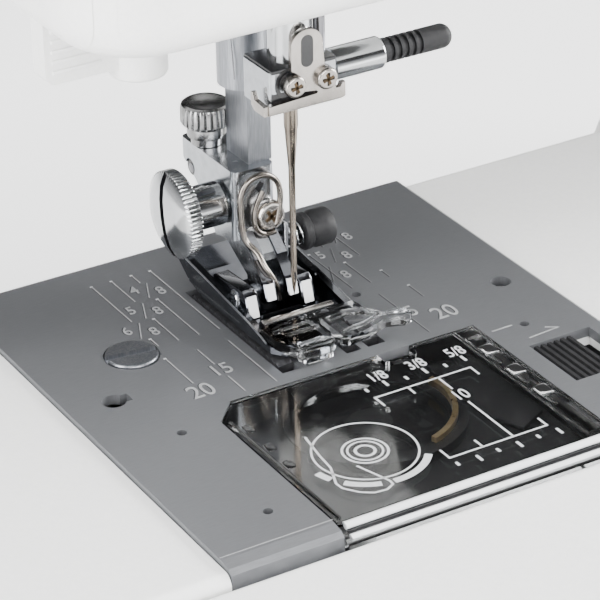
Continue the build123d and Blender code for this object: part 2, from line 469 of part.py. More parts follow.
# ---- cast main frame and its bushings -------------------------------------------------------
FRAME_Y0, FRAME_Y1 = 38.0, 46.0
BUSH_R = 9.0
BUSHES = ((25.0, 37.0), (262.0, 274.0))
LOWER_BUSHES = ((22.0, 32.0), (262.0, 272.0))
with BuildPart() as main_frame:
    # back plate of the arm, pillar plate, bed plate
    slab_wall([(-12, 62), (40, 62), (40, 122), (262, 122), (262, -12), (16, -12), (16, -46),
               (276, -46), (276, 156), (-12, 156)], FRAME_Y0, FRAME_Y1)
    # the bed plate stands further forward, inside the free arm
    block(16, 276, 18, FRAME_Y0, -46, -36, mode=Mode.SUBTRACT)
    block(16, 96, FRAME_Y0 - 1, FRAME_Y1 + 1, -47, -11, mode=Mode.SUBTRACT)
    block(16, 110, 18, 26, -46, -12)
    block(96, 110, 18, FRAME_Y0 + 1, -46, -12)
    # bearing arms of the main shaft
    for bush_x0, bush_x1 in BUSHES:
        block(bush_x0, bush_x1, -12, FRAME_Y0 + 1, SHAFT_Z - 12, SHAFT_Z + 12)
        rod_x(bush_x0 - 1, bush_x1 + 1, SHAFT_Y, SHAFT_Z, BUSH_R, mode=Mode.SUBTRACT)
    # bearing arms of the lower shaft
    block(22, 32, LOWER_Y - 9, 19, LOWER_Z - 8, LOWER_Z + 9)
    rod_x(21, 33, LOWER_Y, LOWER_Z, 6.5, mode=Mode.SUBTRACT)
    block(262, 272, LOWER_Y - 8, FRAME_Y0 + 1, LOWER_Z - 8, LOWER_Z + 9)
    rod_x(261, 273, LOWER_Y, LOWER_Z, 6.5, mode=Mode.SUBTRACT)
    # guides of the needle bar and the presser bar
    for guide_z0, guide_z1 in ((65, 76), (123, 132)):
        block(-8, 4.6, -6, FRAME_Y0 + 1, guide_z0, guide_z1)
        rod_z(guide_z0 - 1, guide_z1 + 1, 0, 0, NEEDLE_BAR_R + RUN, mode=Mode.SUBTRACT)
        rod_z(guide_z0 - 1, guide_z1 + 1, 0, PRESSER_Y, PRESSER_R + RUN, mode=Mode.SUBTRACT)
    # take-up pivot stud
    block(-11.2, -8, TAKEUP_Y - 4, FRAME_Y0 + 1, TAKEUP_Z - 5, TAKEUP_Z + 5)
    rod_x(TAKEUP_X - 4, -11.1, TAKEUP_Y, TAKEUP_Z, 2.5)
    # hook bearing boss below the hook
    block(HOOK_X - 7, 24, HOOK_Y - 7, HOOK_Y + 7, -49.2, -46.2)
    block(17, 24, HOOK_Y - 7, 19, -49.2, -45)
    rod_z(-50, -46, HOOK_X, HOOK_Y, 3 + RUN, mode=Mode.SUBTRACT)
finish(main_frame, "main_frame")

with BuildPart() as shaft_bushings:
    for bush_x0, bush_x1 in BUSHES:
        rod_x(bush_x0, bush_x1, SHAFT_Y, SHAFT_Z, BUSH_R - 0.01)
        rod_x(bush_x0 - 1, bush_x1 + 1, SHAFT_Y, SHAFT_Z, SHAFT_R + RUN, mode=Mode.SUBTRACT)
    for bush_x0, bush_x1 in LOWER_BUSHES:
        rod_x(bush_x0, bush_x1, LOWER_Y, LOWER_Z, 6.49)
        rod_x(bush_x0 - 1, bush_x1 + 1, LOWER_Y, LOWER_Z, LOWER_R + RUN, mode=Mode.SUBTRACT)
finish(shaft_bushings, "shaft_bushings")

# ---- main shaft, crank, handwheel and belt wheels --------------------------------------------
with BuildPart() as main_shaft:
    rod_x(11, 298, SHAFT_Y, SHAFT_Z, SHAFT_R)
    chamfer(main_shaft.edges().filter_by(GeomType.CIRCLE), 0.6)
finish(main_shaft, "main_shaft")

CRANK_X0, CRANK_X1 = 11.0, 17.0
with BuildPart() as crank_disc:
    rod_x(CRANK_X0, CRANK_X1, SHAFT_Y, SHAFT_Z, 22)
    with BuildSketch(side(CRANK_X0, 0, 0)) as relief:
        with Locations((-14, SHAFT_Z - 15), (14, SHAFT_Z + 17)):
            Circle(7)
    extrude(relief.sketch, amount=10, mode=Mode.SUBTRACT)
    rod_x(CRANK_X1, CRANK_X1 + 6, SHAFT_Y, SHAFT_Z, 10)
    rod_x(CRANK_X0 - 6, CRANK_X0, CRANK_PIN_Y, CRANK_PIN_Z, 3)
    rod_x(CRANK_X0 - 1, CRANK_X1 + 7, SHAFT_Y, SHAFT_Z, SHAFT_R, mode=Mode.SUBTRACT)
finish(crank_disc, "crank_disc")

with BuildPart() as needle_bar_link:
    link_dir = math.atan2(CRANK_PIN_Z - STUD_Z, CRANK_PIN_Y)
    link_len = math.hypot(CRANK_PIN_Y, CRANK_PIN_Z - STUD_Z)
    with BuildSketch(side(6.2, CRANK_PIN_Y / 2, (CRANK_PIN_Z + STUD_Z) / 2)):
        Rectangle(link_len, 5, rotation=math.degrees(link_dir))
    extrude(amount=3.6)
    rod_x(6.2, 9.8, CRANK_PIN_Y, CRANK_PIN_Z, 6)
    rod_x(6.2, 9.8, 0, STUD_Z, 5)
    rod_x(5, 11, CRANK_PIN_Y, CRANK_PIN_Z, 3 + RUN, mode=Mode.SUBTRACT)
    rod_x(5, 11, 0, STUD_Z, 2.6, mode=Mode.SUBTRACT)
finish(needle_bar_link, "needle_bar_link")

WHEEL_X0, WHEEL_X1, WHEEL_R = 291.0, 306.0, 33.0
with BuildPart() as handwheel:
    rod_x(WHEEL_X0, WHEEL_X1, SHAFT_Y, SHAFT_Z, WHEEL_R)
    fillet(handwheel.edges().filter_by(GeomType.CIRCLE).sort_by(Axis.X)[-1], 5)
    fillet(handwheel.edges().filter_by(GeomType.CIRCLE).sort_by(Axis.X)[0], 1.5)
    with BuildSketch(side(WHEEL_X1, SHAFT_Y, SHAFT_Z)) as dish:
        Circle(22)
    extrude(dish.sketch, amount=-4, taper=20, mode=Mode.SUBTRACT)
    rod_x(WHEEL_X1 - 6, WHEEL_X1 - 1, SHAFT_Y, SHAFT_Z, 12)
    with BuildSketch(side(WHEEL_X0 + 1.5, SHAFT_Y, SHAFT_Z)) as grips:
        with PolarLocations(WHEEL_R + 1.2, 36):
            Circle(2.1)
    extrude(grips.sketch, amount=9, mode=Mode.SUBTRACT)
    rod_x(WHEEL_X0 - 1, 298, SHAFT_Y, SHAFT_Z, SHAFT_R, mode=Mode.SUBTRACT)
finish(handwheel, "handwheel")

PULLEY_BIG, PULLEY_SMALL = 24.0, 14.0
BELT_A, BELT_B = (236.0, 243.0), (246.0, 253.0)       # motor belt and timing belt, along x
with BuildPart() as upper_pulley:
    rod_x(BELT_A[0], BELT_A[1], SHAFT_Y, SHAFT_Z, PULLEY_BIG)
    rod_x(BELT_A[1], BELT_B[0], SHAFT_Y, SHAFT_Z, PULLEY_BIG + 2)
    rod_x(BELT_B[0], BELT_B[1], SHAFT_Y, SHAFT_Z, PULLEY_SMALL)
    rod_x(BELT_A[0] - 2, BELT_A[0], SHAFT_Y, SHAFT_Z, PULLEY_BIG + 2)
    with BuildSketch(side(BELT_A[0], SHAFT_Y, SHAFT_Z)) as teeth:
        with PolarLocations(PULLEY_BIG, 60):
            Rectangle(1.0, 1.2)
    extrude(teeth.sketch, amount=BELT_A[1] - BELT_A[0], mode=Mode.SUBTRACT)
    rod_x(BELT_A[0] - 3, BELT_B[1] + 1, SHAFT_Y, SHAFT_Z, SHAFT_R, mode=Mode.SUBTRACT)
finish(upper_pulley, "upper_pulley")

with BuildPart() as lower_shaft:
    rod_x(-20, 276, LOWER_Y, LOWER_Z, LOWER_R)
    chamfer(lower_shaft.edges().filter_by(GeomType.CIRCLE), 0.5)
finish(lower_shaft, "lower_shaft")

DRIVE_GEAR_R, HOOK_GEAR_R = 10.5, 5.35
with BuildPart() as lower_shaft_wheels:
    # belt wheel with its two flanges
    rod_x(BELT_B[0], BELT_B[1], LOWER_Y, LOWER_Z, PULLEY_SMALL)
    for flange_x in (BELT_B[0] - 1.5, BELT_B[1]):
        rod_x(flange_x, flange_x + 1.5, LOWER_Y, LOWER_Z, PULLEY_SMALL + 2)
    rod_x(BELT_B[0] - 2, BELT_B[1] + 2, LOWER_Y, LOWER_Z, LOWER_R, mode=Mode.SUBTRACT)
    # gear that drives the hook, a separate solid on the same shaft
    rod_x(-9, 6, LOWER_Y, LOWER_Z, DRIVE_GEAR_R)
    with BuildSketch(side(-9, LOWER_Y, LOWER_Z)) as teeth:
        with PolarLocations(DRIVE_GEAR_R, 32):
            Rectangle(2.2, 1.0)
    extrude(teeth.sketch, amount=15, mode=Mode.SUBTRACT)
    rod_x(6, 12, LOWER_Y, LOWER_Z, 7)
    rod_x(-10, 13, LOWER_Y, LOWER_Z, LOWER_R, mode=Mode.SUBTRACT)
finish(lower_shaft_wheels, "lower_shaft_wheels")

# ---- motor and belts ------------------------------------------------------------------------
MOTOR_R, MOTOR_PULLEY_R = 19.0, 5.0
with BuildPart() as drive_motor:
    rod_x(182, 228, MOTOR_Y, MOTOR_Z, MOTOR_R)
    fillet(drive_motor.edges().filter_by(GeomType.CIRCLE), 2)
    rod_x(228, 231, MOTOR_Y, MOTOR_Z, 7)
    block(196, 216, MOTOR_Y + MOTOR_R - 4, COVER_BACK - WALL, MOTOR_Z - 10, MOTOR_Z + 10)
    rod_x(226, 232, MOTOR_Y, MOTOR_Z, 2.5 + RUN, mode=Mode.SUBTRACT)
finish(drive_motor, "drive_motor")

with BuildPart() as motor_pulley:
    rod_x(226.5, 246, MOTOR_Y, MOTOR_Z, 2.5)
    rod_x(BELT_A[0], BELT_A[1], MOTOR_Y, MOTOR_Z, MOTOR_PULLEY_R)
    for flange_x in (BELT_A[0] - 1.5, BELT_A[1]):
        rod_x(flange_x, flange_x + 1.5, MOTOR_Y, MOTOR_Z, MOTOR_PULLEY_R + 2)
finish(motor_pulley, "motor_pulley")


def belt_loop(x0, x1, wheel_a, wheel_b, clear, thick):
    """Closed belt round two wheels, each given as (y, z, radius)."""
    for grow, mode in ((clear + thick, Mode.ADD), (clear, Mode.SUBTRACT)):
        with BuildSketch(side(x0, 0, 0)) as loop:
            for wheel_y, wheel_z, wheel_r in (wheel_a, wheel_b):
                with Locations((wheel_y, wheel_z)):
                    Circle(wheel_r + grow)
            make_hull()
        extrude(loop.sketch, amount=x1 - x0, mode=mode)


with BuildPart() as motor_belt:
    belt_loop(BELT_A[0] + 0.4, BELT_A[1] - 0.4, (SHAFT_Y, SHAFT_Z, PULLEY_BIG),
              (MOTOR_Y, MOTOR_Z, MOTOR_PULLEY_R), 0.1, 1.4)
with BuildPart() as timing_belt:
    belt_loop(BELT_B[0] + 0.4, BELT_B[1] - 0.4, (SHAFT_Y, SHAFT_Z, PULLEY_SMALL),
              (LOWER_Y, LOWER_Z, PULLEY_SMALL), 0.1, 1.4)
with BuildPart() as drive_belts:
    add(motor_belt.part)
    add(timing_belt.part)
finish(drive_belts, "drive_belts")

# ---- needle bar group -----------------------------------------------------------------------
BAR_BOTTOM, BAR_TOP = 36.9, 155.0
with BuildPart() as needle_bar:
    rod_z(BAR_BOTTOM, BAR_TOP, 0, 0, NEEDLE_BAR_R)
    chamfer(needle_bar.faces().sort_by(Axis.Z)[-1].edges(), 0.6)
    rod_x(0, 5.9, 0, STUD_Z, 2.4)
    rod_z(BAR_BOTTOM - 1, BAR_BOTTOM + 12, 0, 0, 1.0, mode=Mode.SUBTRACT)
finish(needle_bar, "needle_bar")

SHANK_R, BLADE_R, NEEDLE_TIP = 1.0, 0.46, 5.0
with BuildPart() as needle:
    with BuildSketch(wall(0, 0, 0)):
        with BuildLine():
            Polyline((0, NEEDLE_TIP), (BLADE_R * 0.5, NEEDLE_TIP + 1.2), (BLADE_R, NEEDLE_TIP + 3.4),
                     (BLADE_R, 25.2), (SHANK_R * 0.93, 30.2), (SHANK_R, 30.8),
                     (SHANK_R - 0.02, 48.0), (0, 48.0), close=True)
        make_face()
    revolve(axis=Axis(deck(0, 0, 0).origin, (0, 0, 1)))
    # eye just above the point, seen from the front
    rod_y(-1, 1, 0, NEEDLE_TIP + 3.6, 0.2, mode=Mode.SUBTRACT)
finish(needle, "needle")

CLAMP_Z0, CLAMP_Z1 = 35.5, 41.2
CLAMP_SCREW_Z = 38.6
with BuildPart() as needle_clamp:
    block(-5.2, 5.4, -3.6, 4.0, CLAMP_Z0, CLAMP_Z1)
    fillet(needle_clamp.edges().filter_by(Axis.Z), 0.8)
    rod_z(CLAMP_Z0 - 0.6, CLAMP_Z0, 0, 0, 1.6)
    rod_z(BAR_BOTTOM, CLAMP_Z1 + 1, 0, 0, NEEDLE_BAR_R, mode=Mode.SUBTRACT)
    rod_z(CLAMP_Z0 - 4, CLAMP_Z1, 0, 0, SHANK_R, mode=Mode.SUBTRACT)
    rod_x(3, 6, 0, CLAMP_SCREW_Z, 1.6, mode=Mode.SUBTRACT)
finish(needle_clamp, "needle_clamp")

with BuildPart() as clamp_screw:
    rod_x(3.2, 6.2, 0, CLAMP_SCREW_Z, 1.55)
    rod_x(6.2, 14.2, 0, CLAMP_SCREW_Z, 2.3)
    fillet(clamp_screw.edges().filter_by(GeomType.CIRCLE).sort_by(Axis.X)[-1], 0.5)
finish(clamp_screw, "clamp_screw")

GRIP_R = 1.75
with BuildPart() as clamp_grip:
    rod_x(14.2, 25.6, 0, CLAMP_SCREW_Z, GRIP_R)
    fillet(clamp_grip.edges().filter_by(GeomType.CIRCLE).sort_by(Axis.X)[-1], 1.5)
    for ring in range(5):
        rod_x(15.2 + 1.15 * ring, 15.75 + 1.15 * ring, 0, CLAMP_SCREW_Z, GRIP_R + 1, mode=Mode.SUBTRACT)
    rod_x(14.2, 22.0, 0, CLAMP_SCREW_Z, GRIP_R - 0.35)
finish(clamp_grip, "clamp_grip")

GUARD_Y0, GUARD_Y1 = -4.5, -3.62
with BuildPart() as threader_plate:
    with BuildSketch(wall(0, GUARD_Y1, 0)):
        with Locations((-0.25, 36.3)):
            Rectangle(11.3, 1.5)
        with Locations((-0.1, 38.8)):
            RectangleRounded(8.4, 4.4, 1.0)
        with Locations((0.1, 43.2)):
            RectangleRounded(4.9, 7.4, 2.2)
        with Locations((0.1, 43.8)):
            SlotOverall(4.4, 1.9, rotation=90, mode=Mode.SUBTRACT)
        with Locations((-2.1, 39.2), (2.8, 39.3)):
            Circle(0.9, mode=Mode.SUBTRACT)
    extrude(amount=GUARD_Y1 - GUARD_Y0)
    # turned-back ends that steer the thread
    block(-6.6, -5.9, GUARD_Y0, -1.2, 35.55, 37.05)
    block(5.4, 6.1, GUARD_Y0, -2.4, 35.55, 37.05)
finish(threader_plate, "threader_plate")

with BuildPart() as clamp_fixings:
    for screw_x, screw_z in ((-2.1, 39.2), (2.8, 39.3)):
        rod_y(GUARD_Y0 - 1.0, GUARD_Y0 - 0.01, screw_x, screw_z, 1.55)
        rod_y(GUARD_Y0 - 0.01, GUARD_Y1 - 0.01, screw_x, screw_z, 0.85)
    fillet(clamp_fixings.edges().filter_by(GeomType.CIRCLE).group_by(Axis.Y)[0], 0.4)
    for screw_x, screw_z in ((-2.1, 39.2), (2.8, 39.3)):
        cross_recess(wall(screw_x, GUARD_Y0 - 1.0, screw_z), 1.9, 0.45, 0.5)
finish(clamp_fixings, "clamp_fixings")

# ---- take-up lever --------------------------------------------------------------------------
with BuildPart() as take_up_lever:
    reach_y = TAKEUP_Y - TAKEUP_REACH * math.cos(math.radians(TAKEUP_REST))
    reach_z = TAKEUP_Z + TAKEUP_REACH * math.sin(math.radians(TAKEUP_REST))
    rod_x(TAKEUP_X, TAKEUP_X + TAKEUP_THICK, TAKEUP_Y, TAKEUP_Z, 6)
    rod_x(TAKEUP_X, TAKEUP_X + TAKEUP_THICK, reach_y, reach_z, 3.4)
    slab_side([(TAKEUP_Y - 2, TAKEUP_Z - 4.5), (TAKEUP_Y + 3, TAKEUP_Z + 4.5), (reach_y + 1, reach_z + 3.2),
               (reach_y - 1, reach_z - 3.2)], TAKEUP_X, TAKEUP_X + TAKEUP_THICK)
    rod_x(TAKEUP_X - 1, TAKEUP_X + TAKEUP_THICK + 1, TAKEUP_Y, TAKEUP_Z, 2.5 + RUN, mode=Mode.SUBTRACT)
    rod_x(TAKEUP_X - 1, TAKEUP_X + TAKEUP_THICK + 1, reach_y, reach_z, 1.5, mode=Mode.SUBTRACT)
finish(take_up_lever, "take_up_lever")

# ---- presser bar group ----------------------------------------------------------------------
HOLDER_X0, HOLDER_X1, HOLDER_TOP = -4.3, 2.4, 21.2
PRESSER_TOP = 150.0
with BuildPart() as presser_bar:
    rod_z(HOLDER_TOP, PRESSER_TOP, 0, PRESSER_Y, PRESSER_R)
    chamfer(presser_bar.faces().sort_by(Axis.Z)[-1].edges(), 0.6)
    # milled flats of the bar's foot, with rounded run-outs
    block(-5, -1.0, PRESSER_Y - 5, PRESSER_Y + 5, HOLDER_TOP - 1, 33, mode=Mode.SUBTRACT)
    block(-5, 5, PRESSER_Y - 5, PRESSER_Y - 2.5, HOLDER_TOP - 1, 32, mode=Mode.SUBTRACT)
    block(-0.6, 1.4, 11.5, 14.5, HOLDER_TOP - 8, HOLDER_TOP)
    # collar that the spring pushes down on
    rod_z(80, 84, 0, PRESSER_Y, 6.2)
finish(presser_bar, "presser_bar")

SPRING_Z0, SPRING_Z1, SPRING_MEAN, SPRING_WIRE = 84.6, 120.6, 5.1, 0.55
with BuildPart() as presser_spring:
    with BuildLine(deck(0, PRESSER_Y, SPRING_Z0 + 0.6)) as coil:
        Helix(pitch=4.6, height=SPRING_Z1 - SPRING_Z0 - 1.2, radius=SPRING_MEAN)
    with BuildSketch(Plane(origin=coil.line @ 0, z_dir=coil.line % 0)):
        Circle(SPRING_WIRE)
    sweep(path=coil.line, is_frenet=True)
finish(presser_spring, "presser_spring")

TONGUE_W = 1.8
ANKLE_X0, ANKLE_X1 = -3.5, 1.9
BUTTON_AXIS_Y, BUTTON_AXIS_Z = 8.5, 9.5
PIN_Y, PIN_Z, PIN_R = 5.0, 4.5, 0.9
SCREW_X, SCREW_Z, SCREW_R = 0.8, 13.9, 2.2
with BuildPart() as foot_holder:
    # block on the bar, with the raised arm behind it
    slab_side([(8.9, 10.6), (14.5, 9.4), (16.5, 12.4), (20.0, 15.9), (24.2, 18.4), (24.2, HOLDER_TOP),
               (8.9, HOLDER_TOP)], HOLDER_X0, HOLDER_X1)
    fillet(foot_holder.edges().filter_by(Axis.Z), 0.9)
    # ankle reaching forward to the two tongues
    slab_side([(8.9, 12.2), (5.6, 9.4), (3.2, 6.4), (3.2, 3.6), (6.4, 3.2), (7.2, 6.0), (13.6, 9.6),
               (13.6, 12.2)], ANKLE_X0, ANKLE_X1)
    fillet(foot_holder.edges().filter_by(Axis.X).filter_by(near(y=3.2)), 0.9)
    block(ANKLE_X0 + TONGUE_W, ANKLE_X1 - TONGUE_W, -1, 7.0, 2, 8.6, mode=Mode.SUBTRACT)
    rod_x(-5, 5, PIN_Y, PIN_Z, PIN_R + RUN, mode=Mode.SUBTRACT)
    # bar seat, cross hole of the lever pin, knob shaft hole and screw holes
    block(-0.6, 1.4, 11.5, 14.5, HOLDER_TOP - 8, HOLDER_TOP + 1, mode=Mode.SUBTRACT)
    rod_x(HOLDER_X0 - 1, HOLDER_X1 + 1, 21.5, 17.2, 1.3, mode=Mode.SUBTRACT)
    rod_x(HOLDER_X0 - 1, -0.62, 13.0, 15.2, 2.6, mode=Mode.SUBTRACT)
    rod_y(7.5, 11.4, SCREW_X, SCREW_Z, 0.9, mode=Mode.SUBTRACT)
    rod_y(7.5, 8.9, SCREW_X, SCREW_Z, SCREW_R + 0.1, mode=Mode.SUBTRACT)
    # button bore behind the ankle
    rod_x(-0.2, 4, BUTTON_AXIS_Y, BUTTON_AXIS_Z, 1.1 + RUN, mode=Mode.SUBTRACT)
finish(foot_holder, "foot_holder")

KNOB_X, KNOB_Y, KNOB_R = -2.2, 20.1, 3.7
with BuildPart() as holder_knob:
    rod_z(24.1, 27.5, KNOB_X, KNOB_Y, KNOB_R)
    fillet(holder_knob.edges().filter_by(GeomType.CIRCLE), 0.4)
    knurl_z(24.6, 27.0, KNOB_X, KNOB_Y, KNOB_R, 30, 0.3)
    rod_z(HOLDER_TOP + 0.1, 24.1, KNOB_X, KNOB_Y, 2.4)
finish(holder_knob, "holder_knob")

THUMB_Y, THUMB_Z, THUMB_R = 13.0, 15.2, 6.4
THUMB_FACE, THUMB_REAR = -13.2, -10.2
with BuildPart() as holder_thumbscrew:
    rod_x(THUMB_FACE, THUMB_REAR, THUMB_Y, THUMB_Z, THUMB_R)
    fillet(holder_thumbscrew.edges().filter_by(GeomType.CIRCLE).sort_by(Axis.X)[0], 1.2)
    fillet(holder_thumbscrew.edges().filter_by(GeomType.CIRCLE).sort_by(Axis.X)[-1], 0.5)
    knurl_x(THUMB_FACE + 1.2, THUMB_REAR - 0.3, THUMB_Y, THUMB_Z, THUMB_R, 64, 0.25)
    with BuildSketch(side(THUMB_FACE, THUMB_Y, THUMB_Z)) as slot:
        Rectangle(14, 1.2, rotation=81)
    extrude(slot.sketch, amount=1.5, mode=Mode.SUBTRACT)
    rod_x(THUMB_REAR, -4.6, THUMB_Y, THUMB_Z, 3.2)
    rod_x(-4.6, -0.7, THUMB_Y, THUMB_Z, 2.5)
finish(holder_thumbscrew, "holder_thumbscrew")

with BuildPart() as holder_screw:
    rod_y(7.9, 8.88, SCREW_X, SCREW_Z, SCREW_R)
    fillet(holder_screw.edges().filter_by(GeomType.CIRCLE).group_by(Axis.Y)[0], 0.5)
    rod_y(8.8, 11.2, SCREW_X, SCREW_Z, 0.8)
    cross_recess(wall(SCREW_X, 7.9, SCREW_Z), 2.3, 0.55, 0.6)
finish(holder_screw, "holder_screw")

WIRE_R = 0.4
with BuildPart() as wire_guide:
    with BuildLine() as wire_path:
        FilletPolyline(deck(1.9, 7.45, 12.6).origin, deck(2.1, 7.5, 17.0).origin,
                       deck(0.6, 7.5, 20.4).origin, deck(-2.4, 7.5, 20.6).origin,
                       deck(-4.0, 7.5, 18.4).origin, deck(-3.9, 7.1, 11.6).origin,
                       deck(-2.6, 5.3, 10.0).origin, deck(-2.5, 4.1, 8.4).origin,
                       deck(-1.25, 3.0, 6.9).origin, deck(-0.65, 3.1, 3.6).origin, radius=0.8)
    with BuildSketch(Plane(origin=wire_path.line @ 0, z_dir=wire_path.line % 0)):
        Circle(WIRE_R)
    sweep()
finish(wire_guide, "wire_guide")

with BuildPart() as release_button:
    rod_x(6.0, 11.0, BUTTON_AXIS_Y, BUTTON_AXIS_Z, 2.75)
    fillet(release_button.edges().filter_by(GeomType.CIRCLE), 0.8)
    rod_x(1.4, 6.1, BUTTON_AXIS_Y, BUTTON_AXIS_Z, 1.1)
finish(release_button, "release_button")

# ---- presser foot ---------------------------------------------------------------------------
with BuildPart() as presser_foot:
    slab_side([(-3.4, FOOT_SOLE), (12.5, FOOT_SOLE), (16.5, 2.0), (19.6, 4.2), (19.2, 5.2), (15.6, 3.3),
               (12.2, 2.2), (-3.4, 2.0)], -7.8, 7.8)
    # upstanding side rims
    for rim_x in (-7.8, 6.7):
        slab_side([(-3.4, FOOT_SOLE), (12.5, FOOT_SOLE), (16.5, 2.0), (16.8, 5.2), (6.0, 4.0),
                   (-3.4, 2.8)], rim_x, rim_x + 1.1)
    # long ears that hold the pin
    for ear_x in (-6.65, 2.25):
        slab_side([(1.5, 1.6), (11.5, 1.6), (11.3, 5.0), (10.8, 5.4), (3.3, 5.9), (2.5, 5.3), (1.5, 2.3)],
                  ear_x, ear_x + 2.1)
    # sole that runs on under the left toe
    with BuildSketch(deck(0, 0, FOOT_SOLE)):
        with BuildLine():
            Polyline((-7.8, -3.3), (-7.8, -6.6), (-6.4, -8.6), (-4.4, -9.2), (-0.9, -9.2), (-0.9, -3.3),
                     close=True)
        make_face()
    extrude(amount=1.0)
    block(-6.9, 5.2, -3.3, -1.9, 1.9, 3.5)
    rod_x(-7, 7, PIN_Y, PIN_Z, PIN_R, mode=Mode.SUBTRACT)
    # needle window and the cut that clears the feed teeth
    block(-4.6, 4.6, -2.2, 1.9, 0, 3, mode=Mode.SUBTRACT, corner=0.6)
finish(presser_foot, "presser_foot")

with BuildPart() as foot_pin:
    rod_x(-6.9, 4.6, PIN_Y, PIN_Z, PIN_R)
finish(foot_pin, "foot_pin")

TOE_LEFT = [(-7.6, -3.5), (-7.6, -7.4), (-6.8, -10.2), (-5.6, -12.0), (-1.0, -12.2), (-0.2, -11.5),
            (-0.2, -3.5)]
TOE_RIGHT = [(0.9, -3.5), (0.9, -11.4), (1.8, -12.1), (5.2, -11.5), (8.6, -10.3), (11.2, -11.3),
             (12.5, -10.9), (12.6, -9.6), (11.8, -8.8), (9.0, -8.5), (7.7, -6.2), (7.5, -3.5)]
with BuildPart() as foot_toe:
    for lobe in (TOE_LEFT, TOE_RIGHT):
        with BuildSketch(deck(0, 0, FOOT_SOLE + 1.0)):
            with BuildLine():
                Polyline(*lobe, close=True)
            make_face()
        extrude(amount=1.5)
    # raised left lobe, its foot down to the sole, and the web that joins the lobes
    block(-6.4, -0.4, -11.6, -5.2, 3.4, 4.0, corner=1.2)
    block(-5.4, -0.5, -12.0, -9.4, FOOT_SOLE, 2.1, corner=0.9)
    block(-0.3, 1.0, -5.4, -3.6, 2.1, 3.3)
finish(foot_toe, "foot_toe")

# ---- lifter and threader levers ---------------------------------------------------------------
with BuildPart() as lifter_lever:
    rod_y(48.5, 66, LIFTER_X, LIFTER_Z, 4.2)
    slab_wall([(LIFTER_X - 5, LIFTER_Z + 5), (LIFTER_X + 6, LIFTER_Z + 6), (LIFTER_X + 44, LIFTER_Z - 12),
               (LIFTER_X + 42, LIFTER_Z - 21), (LIFTER_X + 28, LIFTER_Z - 15), (LIFTER_X - 3, LIFTER_Z - 6)],
              65.5, 70)
    fillet(lifter_lever.edges().filter_by(Axis.Y).filter_by(near(x=LIFTER_X + 44)), 3)
finish(lifter_lever, "lifter_lever")

LEVER_X, LEVER_Y = -17.7, 10.0
with BuildPart() as threader_lever:
    rod_z(39.6, 58.6, LEVER_X, LEVER_Y, 4.1)
    fillet(threader_lever.faces().sort_by(Axis.Z)[0].edges(), 0.6)
    rod_z(58.6, 112, LEVER_X, LEVER_Y, 2.4)
    block(-32.2, LEVER_X, LEVER_Y - 1.8, LEVER_Y + 1.8, 41.5, 52.0)
    fillet(threader_lever.edges().filter_by(Axis.Y).filter_by(near(x=-32.2)), 1.4)
finish(threader_lever, "threader_lever")

# ---- feed -----------------------------------------------------------------------------------
FEED_BACK = 15.4
FEED_FRONT = -9.8
with BuildPart() as feed_dog:
    for sign in (-1, 1):
        outer = sorted((sign * 5.7, sign * 8.1))
        inner = sorted((sign * 2.2, sign * 4.2))
        block(outer[0], outer[1], FEED_FRONT + 0.6, FEED_BACK, -2.5, 0.2)
        block(inner[0], inner[1], FEED_FRONT + 0.6, -4.0, -2.5, 0.2)
        block(inner[0], inner[1], 4.6, FEED_BACK, -2.5, 0.2)
        # saw teeth across every row
        for row_x0, row_x1, row_y0, row_y1 in ((outer[0], outer[1], FEED_FRONT + 0.6, FEED_BACK),
                                               (inner[0], inner[1], FEED_FRONT + 0.6, -4.0),
                                               (inner[0], inner[1], 4.6, FEED_BACK)):
            count = int((row_y1 - row_y0) / 1.2)
            for tooth in range(count):
                tooth_y = row_y0 + 1.2 * tooth
                slab_side([(tooth_y, 0.1), (tooth_y + 1.15, 0.1), (tooth_y + 1.0, 0.6)], row_x0, row_x1)
    block(-8.1, 8.1, 6.0, FEED_BACK, -2.5, -1.9)
    block(-8.1, -2.2, FEED_FRONT + 0.6, -4.0, -2.5, -1.9)
    block(2.2, 8.1, FEED_FRONT + 0.6, -4.0, -2.5, -1.9)
finish(feed_dog, "feed_dog")

with BuildPart() as feed_carrier:
    block(-9, 9, 6.0, 17.0, -6.5, -2.55)
    block(-5, 5, 10.0, 14.5, -34, -6.5)
    block(-5, 22, 10.0, 14.5, -34, -29)
finish(feed_carrier, "feed_carrier")

# ---- hook, bobbin case and bobbin ---------------------------------------------------------------
with BuildPart() as rotary_hook:
    rod_z(-24, -7, HOOK_X, HOOK_Y, 21.0)
    rod_z(-22, -6, HOOK_X, HOOK_Y, 17.4, mode=Mode.SUBTRACT)
    # window in the wall that frees the hook's point
    with BuildSketch(deck(HOOK_X, HOOK_Y, -15)) as window:
        with Locations((17, -17)):
            Rectangle(16, 16)
    extrude(window.sketch, amount=10, mode=Mode.SUBTRACT)
    rod_z(-49.0, -24, HOOK_X, HOOK_Y, 3.0)
    rod_z(-43, -33, HOOK_X, HOOK_Y, HOOK_GEAR_R)
    with BuildSketch(deck(HOOK_X, HOOK_Y, -43)) as teeth:
        with PolarLocations(HOOK_GEAR_R, 16):
            Rectangle(1.8, 1.0)
    extrude(teeth.sketch, amount=10, mode=Mode.SUBTRACT)
finish(rotary_hook, "rotary_hook")

